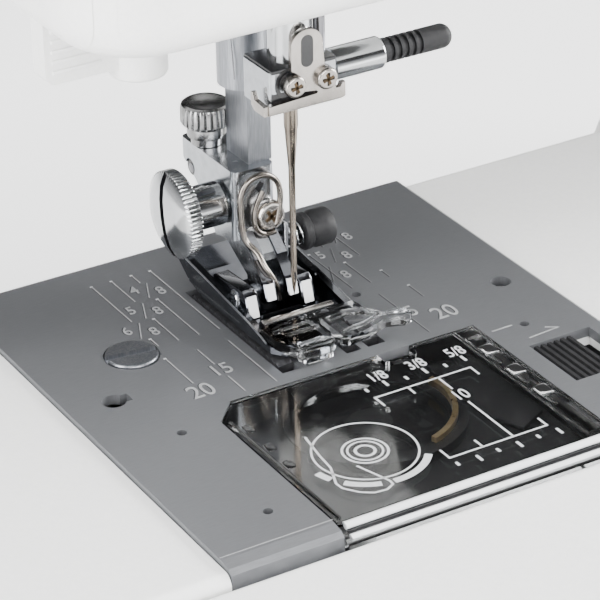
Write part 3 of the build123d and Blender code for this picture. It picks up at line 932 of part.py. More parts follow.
BOBBIN_R, BOBBIN_Z0, BOBBIN_Z1 = 10.2, -16.4, -4.8
with BuildPart() as bobbin_case:
    rod_z(-21.6, -6.9, HOOK_X, HOOK_Y, 17.0)
    rod_z(-6.7, -5.6, HOOK_X, HOOK_Y, 19.6)
    rod_z(-6.9, -6.6, HOOK_X, HOOK_Y, 17.0)
    rod_z(-8, -4.6, HOOK_X, HOOK_Y, 11.9)
    rod_z(BOBBIN_Z0 - 0.2, 0, HOOK_X, HOOK_Y, BOBBIN_R + 0.6, mode=Mode.SUBTRACT)
    rod_z(-19.6, -17.5, HOOK_X, HOOK_Y, 15.0, mode=Mode.SUBTRACT)
finish(bobbin_case, "bobbin_case")

with BuildPart() as bobbin:
    with BuildSketch(wall(HOOK_X, HOOK_Y, 0)):
        with BuildLine():
            Polyline((3.1, BOBBIN_Z0), (BOBBIN_R, BOBBIN_Z0), (BOBBIN_R, BOBBIN_Z0 + 1.1),
                     (4.2, BOBBIN_Z0 + 1.1), (4.2, BOBBIN_Z1 - 1.1), (BOBBIN_R, BOBBIN_Z1 - 1.1),
                     (BOBBIN_R, BOBBIN_Z1), (3.1, BOBBIN_Z1), close=True)
        make_face()
    revolve(axis=Axis(deck(HOOK_X, HOOK_Y, 0).origin, (0, 0, 1)))
    with BuildSketch(deck(HOOK_X, HOOK_Y, BOBBIN_Z0 - 1)):
        with PolarLocations(7.4, 6, start_angle=20):
            Circle(0.9)
    extrude(amount=20, mode=Mode.SUBTRACT)
finish(bobbin, "bobbin")

# ---- bobbin cover and its latch -----------------------------------------------------------------
COVER_THICK = 1.5
with BuildPart() as bobbin_cover:
    slab_deck([(COVER_LEFT, -46.4), (COVER_RIGHT, -46.4), (COVER_RIGHT, COVER_REAR), (-18.0, COVER_REAR),
               (COVER_LEFT, -17.4)], -COVER_THICK, 0.05)
    # rails under both edges and the stepped front lip
    block(COVER_LEFT, COVER_LEFT + 1.4, -44.5, -18.5, -2.6, -COVER_THICK + 0.1)
    block(COVER_RIGHT - 2.2, COVER_RIGHT, -44.5, -15.0, -2.6, -COVER_THICK + 0.1)
    slab_side([(-46.5, 0.05), (-45.6, 0.05), (-45.6, -1.5), (-46.0, -3.2), (-49.1, -3.2), (-49.6, -2.7),
               (-49.6, -1.8), (-49.1, -1.35), (-48.3, -1.2), (-47.4, -0.9), (-46.9, -0.2)],
              COVER_LEFT, COVER_RIGHT)
    # finger notch in the back edge
    block(5.2, 10.4, -15.9, COVER_REAR + 1, -2, 1, mode=Mode.SUBTRACT, corner=0.6)
finish(bobbin_cover, "bobbin_cover")

with BuildPart() as cover_latch:
    block(LATCH_X0 + 0.2, LATCH_X1 - 3.4, LATCH_Y0 + 0.25, LATCH_Y1 - 0.25, -3.2, -1.1)
    for ridge in range(6):
        ridge_x = LATCH_X0 + 0.5 + 1.1 * ridge
        slab_wall([(ridge_x, -1.1), (ridge_x + 0.95, -1.1), (ridge_x + 0.75, -0.2),
                   (ridge_x + 0.2, -0.2)], LATCH_Y0 + 0.3, LATCH_Y1 - 0.3)
    block(LATCH_X0 - 2.0, LATCH_X0 + 4, LATCH_Y0 + 3, LATCH_Y1 - 3, -4.6, -3.2)
finish(cover_latch, "cover_latch")

# ---- controls on the covers ---------------------------------------------------------------------
with BuildPart() as control_panel:
    block(PANEL_X0 + GAP, PANEL_X1 - GAP, COVER_FRONT - 1.0, COVER_FRONT + 4, PANEL_Z0 + GAP, PANEL_Z1 - GAP)
    fillet(control_panel.edges().filter_by(Axis.Y), 5)
    fillet(control_panel.faces().sort_by(Axis.Y)[0].edges(), 0.8)
    with BuildSketch(wall(PANEL_X0 + 52, COVER_FRONT - 1.0, PANEL_Z1 - 36)) as window:
        RectangleRounded(84, 50, 3)
    extrude(window.sketch, amount=-0.8, mode=Mode.SUBTRACT)
finish(control_panel, "control_panel")

for button_name, button_x, button_r in BUTTON_ROW:
    with BuildPart() as push_button:
        rod_y(COVER_FRONT - 2.2, COVER_FRONT + 5, button_x, BUTTON_Z, button_r)
        fillet(push_button.faces().sort_by(Axis.Y)[0].edges(), 1.1)
        rod_y(COVER_FRONT + 3.4, COVER_FRONT + 5, button_x, BUTTON_Z, button_r + 1.0)
    finish(push_button, button_name)

with BuildPart() as speed_slider:
    block(78, 90, COVER_FRONT - 4.5, COVER_FRONT - 0.4, SLIDER_Z - 4.5, SLIDER_Z + 4.5, corner=1.5)
    block(81, 87, COVER_FRONT - 0.5, COVER_FRONT + 4.4, SLIDER_Z - 1.6, SLIDER_Z + 1.6)
    for rib in range(4):
        block(80 + 2.3 * rib, 81 + 2.3 * rib, COVER_FRONT - 5, COVER_FRONT - 4, SLIDER_Z - 5,
              SLIDER_Z + 5, mode=Mode.SUBTRACT)
finish(speed_slider, "speed_slider")

with BuildPart() as tension_dial:
    rod_x(DIAL_X - 3.2, DIAL_X + 3.2, DIAL_Y, DIAL_Z, DIAL_R)
    fillet(tension_dial.edges().filter_by(GeomType.CIRCLE), 0.8)
    knurl_x(DIAL_X - 2.2, DIAL_X + 2.2, DIAL_Y, DIAL_Z, DIAL_R, 40, 0.4)
    rod_x(DIAL_X - 5, DIAL_X + 5, DIAL_Y, DIAL_Z, 2)
finish(tension_dial, "tension_dial")

with BuildPart() as power_switch:
    with BuildSketch(deck(0, 0, -51.4)) as rocker:
        with BuildLine():
            Polyline((BASE_RIGHT - 2.6, 31), (BASE_RIGHT - 0.4, 31), (BASE_RIGHT - 0.4, 39),
                     (BASE_RIGHT + 1.2, 47), (BASE_RIGHT - 1.4, 47), close=True)
        make_face()
    extrude(rocker.sketch, amount=20.8)
finish(power_switch, "power_switch")

# ---- thread compartment ---------------------------------------------------------------------------
SPOOL_Y, SPOOL_Z = 4.0, 181.0
with BuildPart() as spool_pin:
    rod_x(110, 200, SPOOL_Y, SPOOL_Z, 2.6)
    rod_x(196, 200, SPOOL_Y, SPOOL_Z, 9)
    block(200, 206, SPOOL_Y - 6, SPOOL_Y + 6, DECK, SPOOL_Z + 6)
finish(spool_pin, "spool_pin")

WINDER_X, WINDER_Y = 258.0, 4.0
with BuildPart() as bobbin_winder:
    rod_z(LID_TOP + 0.4, LID_TOP + 2.4, WINDER_X, WINDER_Y, 9)
    rod_z(LID_TOP + 2.4, LID_TOP + 12, WINDER_X, WINDER_Y, 2.9)
    fillet(bobbin_winder.faces().sort_by(Axis.Z)[-1].edges(), 0.8)
finish(bobbin_winder, "bobbin_winder")
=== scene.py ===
import bpy
import bmesh
import math
from mathutils import Matrix, Vector


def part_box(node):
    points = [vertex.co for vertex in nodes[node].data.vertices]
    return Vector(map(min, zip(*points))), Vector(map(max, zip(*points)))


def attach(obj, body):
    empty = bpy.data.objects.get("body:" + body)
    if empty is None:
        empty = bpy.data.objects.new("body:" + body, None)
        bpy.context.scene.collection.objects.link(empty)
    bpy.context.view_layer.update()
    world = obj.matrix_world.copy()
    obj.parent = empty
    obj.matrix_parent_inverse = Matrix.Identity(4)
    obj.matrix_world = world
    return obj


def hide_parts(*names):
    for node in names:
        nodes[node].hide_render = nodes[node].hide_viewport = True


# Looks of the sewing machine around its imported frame. Coordinates in this file are given in
# millimetres from the drawing point: the needle's axis at the top of the needle plate,
# x right, y back, z up. at() turns them into the frame's metres.

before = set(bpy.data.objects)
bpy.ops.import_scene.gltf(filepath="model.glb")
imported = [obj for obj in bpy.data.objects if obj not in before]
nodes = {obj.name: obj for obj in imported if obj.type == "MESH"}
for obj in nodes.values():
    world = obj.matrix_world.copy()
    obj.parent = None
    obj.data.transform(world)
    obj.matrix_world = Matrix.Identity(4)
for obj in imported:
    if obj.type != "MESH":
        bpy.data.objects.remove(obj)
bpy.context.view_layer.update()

MM = 0.001
plate_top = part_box("needle_plate")[1].z
needle_lo, needle_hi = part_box("needle")
ORIGIN = Vector(((needle_lo.x + needle_hi.x) / 2, (needle_lo.y + needle_hi.y) / 2, plate_top))


def at(x, y, z):
    """Drawing coordinates in millimetres to the frame's metres."""
    return ORIGIN + Vector((x, y, z)) * MM


def local_box(node):
    """A node's lowest and highest corner in drawing coordinates."""
    low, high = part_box(node)
    return (low - ORIGIN) / MM, (high - ORIGIN) / MM


# ---- materials ---------------------------------------------------------------------------
def new_material(name, color, rough, metal=0.0, coat=0.0):
    """Plain Principled material; gives the material, its node tree and its shader."""
    mat = bpy.data.materials.new(name)
    mat.use_nodes = True
    shader = mat.node_tree.nodes["Principled BSDF"]
    shader.inputs["Base Color"].default_value = (*color, 1.0)
    shader.inputs["Roughness"].default_value = rough
    shader.inputs["Metallic"].default_value = metal
    shader.inputs["Coat Weight"].default_value = coat
    shader.inputs["Coat Roughness"].default_value = 0.08
    return mat, mat.node_tree, shader


def noise(tree, scale, detail=3.0, stretch=(1, 1, 1)):
    """Noise in object space, with a stretch along each axis."""
    coords = tree.nodes.new("ShaderNodeTexCoord")
    mapping = tree.nodes.new("ShaderNodeMapping")
    mapping.inputs["Scale"].default_value = stretch
    tex = tree.nodes.new("ShaderNodeTexNoise")
    tex.inputs["Scale"].default_value = scale
    tex.inputs["Detail"].default_value = detail
    tree.links.new(coords.outputs["Object"], mapping.inputs["Vector"])
    tree.links.new(mapping.outputs["Vector"], tex.inputs["Vector"])
    return tex


def ramp(tree, source, low, high, pos=(0.3, 0.7)):
    """Colour ramp from one colour to another over a noise value."""
    node = tree.nodes.new("ShaderNodeValToRGB")
    node.color_ramp.elements[0].position = pos[0]
    node.color_ramp.elements[1].position = pos[1]
    node.color_ramp.elements[0].color = (*low, 1)
    node.color_ramp.elements[1].color = (*high, 1)
    tree.links.new(source, node.inputs["Fac"])
    return node


def grey(level):
    """Neutral colour of one level."""
    return (level, level, level)


def bump(tree, shader, source, strength, distance):
    """Fine relief from a noise value."""
    node = tree.nodes.new("ShaderNodeBump")
    node.inputs["Strength"].default_value = strength
    node.inputs["Distance"].default_value = distance
    tree.links.new(source, node.inputs["Height"])
    tree.links.new(node.outputs["Normal"], shader.inputs["Normal"])


def textured(name, low, high, rough, metal=0.0, coat=0.0, scale=900, stretch=(1, 1, 1),
             strength=0.05, distance=0.00005, rough_span=0.08):
    """Material with colour, roughness and relief that all follow one fine noise."""
    mat, tree, shader = new_material(name, low, rough, metal, coat)
    tex = noise(tree, scale, 4.0, stretch)
    tint = ramp(tree, tex.outputs["Fac"], low, high)
    tree.links.new(tint.outputs["Color"], shader.inputs["Base Color"])
    gloss = ramp(tree, tex.outputs["Fac"], grey(rough - rough_span / 2), grey(rough + rough_span / 2))
    tree.links.new(gloss.outputs["Color"], shader.inputs["Roughness"])
    bump(tree, shader, tex.outputs["Fac"], strength, distance)
    return mat


def clear_plastic(name, tint, rough):
    """Clear moulded plastic: transmission with faint flow marks."""
    mat, tree, shader = new_material(name, tint, rough)
    shader.inputs["Transmission Weight"].default_value = 1.0
    shader.inputs["IOR"].default_value = 1.42
    tex = noise(tree, 160, 2.0)
    gloss = ramp(tree, tex.outputs["Fac"], grey(rough), grey(rough + 0.04))
    tree.links.new(gloss.outputs["Color"], shader.inputs["Roughness"])
    bump(tree, shader, tex.outputs["Fac"], 0.03, 0.0001)
    return mat


white_plastic = textured("white_plastic", (0.82, 0.82, 0.81), (0.86, 0.86, 0.85), 0.34, scale=1400,
                         strength=0.04)
satin_plate = textured("satin_plate", (0.165, 0.17, 0.18), (0.195, 0.20, 0.21), 0.42, metal=0.7,
                       scale=500, stretch=(1, 14, 1), strength=0.12, distance=0.00002)
chrome = textured("chrome", (0.46, 0.47, 0.48), (0.54, 0.55, 0.56), 0.13, metal=1.0, scale=300,
                  strength=0.02, rough_span=0.06)
dark_chrome = textured("dark_chrome", (0.13, 0.13, 0.14), (0.19, 0.19, 0.20), 0.18, metal=1.0, scale=300,
                       strength=0.02, rough_span=0.06)
ground_steel = textured("ground_steel", (0.20, 0.21, 0.23), (0.31, 0.32, 0.34), 0.34, metal=0.95,
                        scale=700, stretch=(6, 6, 0.5), strength=0.10, distance=0.00003)
nickel = textured("nickel", (0.30, 0.28, 0.26), (0.38, 0.355, 0.33), 0.24, metal=1.0, scale=600,
                  strength=0.05)
needle_steel = textured("needle_steel", (0.17, 0.145, 0.12), (0.28, 0.24, 0.20), 0.16, metal=1.0,
                        scale=900, stretch=(1, 1, 0.1), strength=0.03)
knob_metal = textured("knob_metal", (0.20, 0.20, 0.20), (0.28, 0.28, 0.28), 0.22, metal=1.0, scale=800,
                      strength=0.05)
holder_steel = textured("holder_steel", (0.34, 0.355, 0.375), (0.43, 0.445, 0.465), 0.24, metal=1.0,
                        scale=700, strength=0.06, distance=0.00003)
foot_steel = textured("foot_steel", (0.12, 0.125, 0.14), (0.18, 0.185, 0.20), 0.12, metal=1.0, scale=300,
                      strength=0.02, rough_span=0.05)
wire_metal = textured("wire_metal", (0.15, 0.135, 0.12), (0.22, 0.20, 0.18), 0.2, metal=1.0, scale=700)
bright_nickel = textured("bright_nickel", (0.55, 0.52, 0.49), (0.65, 0.62, 0.58), 0.2, metal=1.0, scale=700)
brass = textured("brass", (0.42, 0.31, 0.16), (0.55, 0.42, 0.24), 0.3, metal=1.0, scale=700)
cast_metal = textured("cast_metal", (0.42, 0.42, 0.42), (0.52, 0.52, 0.52), 0.55, metal=0.9,
                      scale=900, strength=0.5, distance=0.0002)
# Dark bronze for the screws' cross recesses: painted shade in the recesses.
recess_painted_shade = textured("recess_painted_shade", (0.05, 0.035, 0.02), (0.09, 0.06, 0.035), 0.35, metal=0.8, scale=800)
bronze = textured("bronze", (0.45, 0.30, 0.13), (0.56, 0.40, 0.20), 0.4, metal=1.0, scale=800)
black_matte = textured("black_matte", (0.008, 0.008, 0.009), (0.015, 0.015, 0.016), 0.55,
                       scale=1500, strength=0.15)
black_matte.node_tree.nodes["Principled BSDF"].inputs["Specular IOR Level"].default_value = 0.25
black_gloss = textured("black_gloss", (0.006, 0.006, 0.007), (0.012, 0.012, 0.013), 0.2, scale=500,
                       strength=0.02)
rubber = textured("rubber", (0.025, 0.025, 0.025), (0.045, 0.045, 0.045), 0.75, scale=1500,
                  strength=0.3, distance=0.0001)
dark_steel = textured("dark_steel", (0.045, 0.045, 0.05), (0.09, 0.09, 0.095), 0.38, metal=0.8,
                      scale=700)
grey_plastic = textured("grey_plastic", (0.34, 0.35, 0.37), (0.40, 0.41, 0.43), 0.48, scale=1300,
                        strength=0.2, distance=0.00008)
clear = clear_plastic("clear", (0.97, 0.98, 0.985), 0.03)
frosted = clear_plastic("frosted", (0.95, 0.96, 0.97), 0.10)
# Near-white metal for the front faces of the foot's ears and the holder's tongues: painted highlight.
painted_highlight_metal = textured("painted_highlight_metal", (0.86, 0.86, 0.87), (0.94, 0.94, 0.95), 0.22, metal=0.3, scale=300,
                         strength=0.02)
# Light grey for the clear cover lip's rolls: painted highlight in place of the clear plastic's shine.
lip_painted_highlight = textured("lip_painted_highlight", (0.70, 0.71, 0.73), (0.80, 0.81, 0.82), 0.12, coat=0.5, scale=120,
                     stretch=(0.1, 1, 1), strength=0.02)
print_white = textured("print_white", (0.44, 0.45, 0.46), (0.52, 0.53, 0.54), 0.5, scale=2000)
# Light grey for the grooves' lit side, the numerals, the arrow and the plate edges: painted highlight where
# engraved walls and edges catch the light.
engraving_painted_highlight = textured("engraving_painted_highlight", (0.36, 0.365, 0.37), (0.44, 0.445, 0.45), 0.5, metal=0.5, scale=2000)
# Near-black beside the grooves and under the numerals: painted shade of the engraved walls.
engraving_painted_shade = textured("engraving_painted_shade", (0.045, 0.047, 0.05), (0.065, 0.067, 0.07), 0.5, metal=0.4,
                         scale=2000)
# Light grey dots: painted glints at the grooves' back ends.
painted_glint = textured("painted_glint", (0.60, 0.60, 0.61), (0.70, 0.70, 0.71), 0.4, metal=0.4, scale=2000)

LOOKS = {
    white_plastic: ["bed_casing", "front_cover", "rear_cover", "face_cover", "top_lid", "carry_handle",
                    "accessory_tray", "tray_lid", "handwheel", "lifter_lever", "threader_lever"],
    satin_plate: ["needle_plate"],
    chrome: ["needle_bar", "clamp_screw", "holder_thumbscrew", "holder_screw", "take_up_lever"],
    holder_steel: ["foot_holder", "needle_clamp"],
    foot_steel: ["presser_foot"],
    knob_metal: ["holder_knob"],
    ground_steel: ["presser_bar", "plate_screw", "foot_pin", "main_shaft", "lower_shaft",
                   "needle_bar_link", "motor_pulley", "presser_spring"],
    nickel: ["threader_plate", "wire_guide", "clamp_fixings"],
    needle_steel: ["needle"],
    cast_metal: ["main_frame", "crank_disc", "feed_carrier"],
    bronze: ["shaft_bushings"],
    black_matte: ["clamp_grip", "cover_latch", "bobbin_case", "power_switch"],
    black_gloss: ["release_button", "control_panel"],
    rubber: ["rubber_feet", "drive_belts"],
    dark_steel: ["rotary_hook", "feed_dog", "drive_motor"],
    grey_plastic: ["base_pan", "upper_pulley", "lower_shaft_wheels", "start_button", "reverse_button",
                   "speed_slider", "tension_dial", "spool_pin", "bobbin_winder"],
    clear: ["bobbin_cover", "bobbin", "foot_toe"],
}
for look, names in LOOKS.items():
    for name in names:
        mesh = nodes[name].data
        mesh.materials.clear()
        mesh.materials.append(look)


# ---- mesh helpers --------------------------------------------------------------------------
BEVEL_STEPS, BEVEL_SHAPE = 2, 0.6


def bevel_edges(bm, edges, width):
    """Rounds edges the same way on every piece."""
    bmesh.ops.bevel(bm, geom=list(edges), offset=width, segments=BEVEL_STEPS, affect="EDGES",
                    profile=BEVEL_SHAPE)


def place_mesh(name, bm, look, body, soft_angle=35):
    """Turns a bmesh drawn in drawing coordinates into a piece that rides on a body."""
    bmesh.ops.recalc_face_normals(bm, faces=bm.faces)
    mesh = bpy.data.meshes.new(name)
    bm.to_mesh(mesh)
    bm.free()
    mesh.transform(Matrix.Translation(ORIGIN) @ Matrix.Scale(MM, 4))
    mesh.materials.append(look)
    mesh.shade_smooth()
    mesh.set_sharp_from_angle(angle=math.radians(soft_angle))
    piece = bpy.data.objects.new(name, mesh)
    bpy.context.scene.collection.objects.link(piece)
    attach(piece, body)
    return piece


def add_box(bm, low, high, bevel=0.0):
    """Box between two corners, its edges rounded by bevel."""
    made = bmesh.ops.create_cube(bm, size=1.0)
    size = [high[i] - low[i] for i in range(3)]
    middle = [(high[i] + low[i]) / 2 for i in range(3)]
    verts = made["verts"]
    bmesh.ops.scale(bm, vec=size, verts=verts)
    bmesh.ops.translate(bm, vec=middle, verts=verts)
    if bevel > 0:
        bevel_edges(bm, {e for v in verts for e in v.link_edges}, bevel)


def add_prism(bm, outline, axis, start, end, bevel=0.0):
    """Plate of a flat outline pushed along one axis: 'x' takes (y, z), 'y' (x, z), 'z' (x, y)."""
    def corner(p, t):
        return {"x": (t, p[0], p[1]), "y": (p[0], t, p[1]), "z": (p[0], p[1], t)}[axis]
    near = [bm.verts.new(corner(p, start)) for p in outline]
    far = [bm.verts.new(corner(p, end)) for p in outline]
    caps = [bm.faces.new(near), bm.faces.new(list(reversed(far)))]
    count = len(outline)
    for i in range(count):
        bm.faces.new((near[i], far[i], far[(i + 1) % count], near[(i + 1) % count]))
    if bevel > 0:
        bevel_edges(bm, {e for cap in caps for e in cap.edges}, bevel)


def add_lathe(bm, profile, centre, axis, segments=48, shape=None):
    """Turned body from (radius, height) pairs; shape(angle, height) may scale the radius."""
    rings = []
    for radius, height in profile:
        ring = []
        for i in range(segments):
            angle = 2 * math.pi * i / segments
            r = radius * (shape(angle, height) if shape else 1.0)
            u, v = r * math.cos(angle), r * math.sin(angle)
            offset = {"z": (u, v, height), "x": (height, u, v), "y": (u, height, v)}[axis]
            ring.append(bm.verts.new([centre[k] + offset[k] for k in range(3)]))
        rings.append(ring)
    for low, high in zip(rings, rings[1:]):
        for i in range(segments):
            j = (i + 1) % segments
            bm.faces.new((low[i], low[j], high[j], high[i]))
    bm.faces.new(list(reversed(rings[0])))
    bm.faces.new(rings[-1])


def carve(piece, bm, look):
    """Cuts a bmesh in drawing coordinates out of a piece; the cut walls take the second material."""
    mesh = bpy.data.meshes.new(piece.name + "_cut")
    bm.to_mesh(mesh)
    bm.free()
    mesh.transform(Matrix.Translation(ORIGIN) @ Matrix.Scale(MM, 4))
    mesh.materials.append(look)
    tool = bpy.data.objects.new(piece.name + "_cut", mesh)
    bpy.context.scene.collection.objects.link(tool)
    modifier = piece.modifiers.new("cut", "BOOLEAN")
    modifier.object = tool
    modifier.operation = "DIFFERENCE"
    modifier.solver = "EXACT"
    modifier.material_mode = "TRANSFER"
    bpy.context.view_layer.update()
    evaluated = piece.evaluated_get(bpy.context.evaluated_depsgraph_get())
    carved = bpy.data.meshes.new_from_object(evaluated)
    piece.modifiers.clear()
    piece.data = carved
    bpy.data.objects.remove(tool)


def add_stroke(bm, points, width, z0, z1):
    """Flat printed or engraved line along (x, y) points, with mitred corners."""
    sides = ([], [])
    for i, (x, y) in enumerate(points):
        before = points[max(i - 1, 0)]
        after = points[min(i + 1, len(points) - 1)]
        d_in = Vector((x - before[0], y - before[1]))
        d_out = Vector((after[0] - x, after[1] - y))
        if d_in.length < 1e-9:
            d_in = d_out
        if d_out.length < 1e-9:
            d_out = d_in
        tangent = (d_in.normalized() + d_out.normalized()).normalized()
        normal = Vector((-tangent.y, tangent.x))
        spread = width / 2 / max(0.5, normal.dot(Vector((-d_in.y, d_in.x)).normalized()))
        for side, sign in zip(sides, (1, -1)):
            side.append((x + normal.x * spread * sign, y + normal.y * spread * sign))
    for i in range(len(points) - 1):
        quad = [sides[0][i], sides[0][i + 1], sides[1][i + 1], sides[1][i]]
        top = [bm.verts.new((px, py, z1)) for px, py in quad]
        low = [bm.verts.new((px, py, z0)) for px, py in quad]
        bm.faces.new(top)
        bm.faces.new(list(reversed(low)))
        for k in range(4):
            bm.faces.new((top[k], low[k], low[(k + 1) % 4], top[(k + 1) % 4]))


def arc(cx, cy, r, start, end, count=None):
    """Points along a circle's arc, angles in degrees."""
    count = count or max(6, int(abs(end - start) / 6))
    angles = [math.radians(start + (end - start) * i / count) for i in range(count + 1)]
    return [(cx + r * math.cos(a), cy + r * math.sin(a)) for a in angles]


def oval(cx, cy, radius, stretch=0.0, step=15):
    """Closed outline of a circle, parted by stretch along its second axis."""
    outline = []
    for angle in range(0, 360, step):
        turn = math.radians(angle)
        shift = stretch if angle < 180 else -stretch
        outline.append((cx + radius * math.cos(turn), cy + shift + radius * math.sin(turn)))
    return outline


def cross_arm(x, z, reach, half, turn):
    """One bar of a cross recess as an (x, z) outline."""
    dx, dz = math.cos(math.radians(turn)), math.sin(math.radians(turn))
    return [(x + dx * reach * s - dz * half * t, z + dz * reach * s + dx * half * t)
            for s, t in ((-1, -1), (1, -1), (1, 1), (-1, 1))]


def tube(name, points, radius, look, body, smooth=True):
    """Round wire through points."""
    data = bpy.data.curves.new(name, "CURVE")
    data.dimensions = "3D"
    data.bevel_depth = radius * MM
    data.bevel_resolution = 5
    data.use_fill_caps = True
    spline = data.splines.new("NURBS" if smooth else "POLY")
    spline.points.add(len(points) - 1)
    for point, place in zip(spline.points, points):
        point.co = (*at(*place), 1)
    if smooth:
        spline.order_u = 3
        spline.use_endpoint_u = True
    spline.resolution_u = 10
    data.materials.append(look)
    piece = bpy.data.objects.new(name, data)
    bpy.context.scene.collection.objects.link(piece)
    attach(piece, body)
    return piece


FONT_SIZE_PER_DIGIT = 1.38      # font size over the height of its digits
PRINT_THICK = 0.01


def label(name, text, place, height, look, body, bold=0.03, squeeze=0.82):
    """Printed or engraved numerals lying flat, read from the operator's side."""
    data = bpy.data.curves.new(name, "FONT")
    data.body = text
    data.size = height * MM * FONT_SIZE_PER_DIGIT
    data.align_x = "CENTER"
    data.align_y = "CENTER"
    data.offset = bold * MM
    data.extrude = PRINT_THICK * MM
    data.materials.append(look)
    piece = bpy.data.objects.new(name, data)
    piece.location = at(*place)
    piece.scale = (squeeze, 1, 1)
    bpy.context.scene.collection.objects.link(piece)
    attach(piece, body)


# ---- needle plate: engraved seam guides ------------------------------------------------------
SEAM_GUIDES = (          # x, back end, front end
    (-20.0, 1.4, -6.4), (-15.0, 1.4, -3.4), (-15.0, -7.2, -11.9), (-10.1, 1.3, -12.0),
    (15.0, 1.5, -3.4), (15.0, -7.1, -11.7), (20.0, 1.5, -2.4))
INCH_GUIDES = (          # the same to the left and right of the needle
    (19.0, 25.6, 13.4), (15.8, 25.6, 18.4), (12.5, 25.6, 23.1), (9.5, 25.4, 5.0),
    (12.7, 17.2, 5.1), (15.9, 12.3, 5.2), (19.1, 7.4, 5.2))
SLASHES = (((-11.75, 22.5), (-13.5, 18.4)), ((-15.1, 17.4), (-16.8, 13.2)), ((-18.3, 12.5), (-20.1, 8.4)))
LABEL_STEP = 31.6          # from a left-hand inch mark to its twin on the right
CENTIMETRE_MARKS = (("15", -14.9, -5.2, 3.0), ("20", -20.0, -8.9, 3.4),
                    ("15", 15.3, -5.2, 3.0), ("20", 20.0, -8.0, 3.4))
EIGHTHS = (("4", -14.3, 21.4), ("5", -17.5, 16.3), ("6", -20.8, 11.2))
EIGHTHS_HEIGHT = 2.3
GROOVE_TOP = 0.012


def guide_lines(name, look, shift, widths):
    """One side of every engraved groove as a strip of painted highlight or painted shade, shifted sideways
    from its middle; widths left and right.
    """
    bm = bmesh.new()

    def groove(start, end):
        width = widths[0] if start[0] < 0 else widths[1]
        add_stroke(bm, [(start[0] + shift, start[1]), (end[0] + shift, end[1])], width, 0.0, GROOVE_TOP)

    for x, y_back, y_front in SEAM_GUIDES:
        groove((x, y_back), (x, y_front))
    for x, y_back, y_front in INCH_GUIDES:
        groove((-x, y_back), (-x, y_front))
        groove((x, y_back), (x, y_front))
    for (xa, ya), (xb, yb) in SLASHES:
        groove((xa, ya), (xb, yb))
        groove((xa + LABEL_STEP, ya), (xb + LABEL_STEP, yb))
    place_mesh(name, bm, look, "frame")


def engrave_plate():
    """Seam guides, their numerals and the arrow; each groove is a strip of painted highlight beside a strip
    of painted shade, with glints painted at the back ends.
    """
    guide_lines("plate_grooves_lit", engraving_painted_highlight, 0.08, (0.17, 0.06))
    guide_lines("plate_grooves_shade", engraving_painted_shade, -0.08, (0.12, 0.24))
    # Short light strokes at the back end of each inch and seam groove: painted glints.
    ends = bmesh.new()
    for sign in (-1, 1):
        for x, y_back, _ in INCH_GUIDES + SEAM_GUIDES[:1]:
            add_stroke(ends, [(sign * x, y_back), (sign * x, y_back + 0.3)], 0.42, 0.0, 0.014)
    place_mesh("plate_groove_end_glints", ends, painted_glint, "frame")
    marks = list(CENTIMETRE_MARKS)
    for digit, left, y in EIGHTHS:
        for x in (left, left + LABEL_STEP):
            marks += [(digit, x, y, EIGHTHS_HEIGHT), ("8", x + 3.3, y - 2.0, EIGHTHS_HEIGHT)]
    # Each numeral is a light copy as painted highlight over a dark offset copy as painted shade.
    for number, (text, x, y, height) in enumerate(marks):
        label(f"plate_numeral_{number}", text, (x, y, GROOVE_TOP), height, engraving_painted_highlight, "frame", bold=0.02)
        label(f"plate_numeral_shade_{number}", text, (x - 0.16, y + 0.1, 0.006), height, engraving_painted_shade,
              "frame", bold=0.02)
    arrow = bmesh.new()
    add_stroke(arrow, [(25.8, -20.6), (30.9, -20.2), (29.4, -19.2)], 0.3, 0.0, GROOVE_TOP)
    add_stroke(arrow, [(22.4, -16.3), (25.8, -16.3)], 0.3, 0.0, GROOVE_TOP)
    place_mesh("plate_arrow", arrow, engraving_painted_highlight, "frame")


COVER_X0, COVER_X1, COVER_Y0, COVER_Y1 = -21.6, 21.0, -46.4, -13.5      # the bobbin cover's outline


def plate_edge_highlights():
    """Painted highlights: light strips on the plate's edges round its cut-outs and along its front bend."""
    bm = bmesh.new()
    lo, hi = local_box("needle_plate")
    bend = lo.y + 3.3
    for points, width in (([(lo.x + 0.1, bend), (COVER_X0, bend)], 0.16),
                          ([(COVER_X1 + 0.3, bend), (hi.x - 0.1, bend)], 0.16),
                          ([(hi.x - 0.12, hi.y - 1.0), (hi.x - 0.12, lo.y + 3.0)], 0.2),
                          ([(lo.x + 0.5, hi.y - 0.95), (hi.x - 0.5, hi.y - 0.95)], 0.2)):
        add_stroke(bm, points, width, -0.01, GROOVE_TOP)
    place_mesh("plate_edge_highlight_strips", bm, engraving_painted_highlight, "frame")


# ---- bobbin cover ----------------------------------------------------------------------------
PRINT_Z = 0.06
DIAGRAM = (-9.5, -33.9)         # middle of the printed bobbin
EIGHTH_INCH = 3.175
FIRST_TICK = -1.1
SCALE_X0, SCALE_X1 = -1.2, 14.2     # the printed frame's left and right edges
SCALE_BACK, SCALE_FRONT = -23.1, -41.3


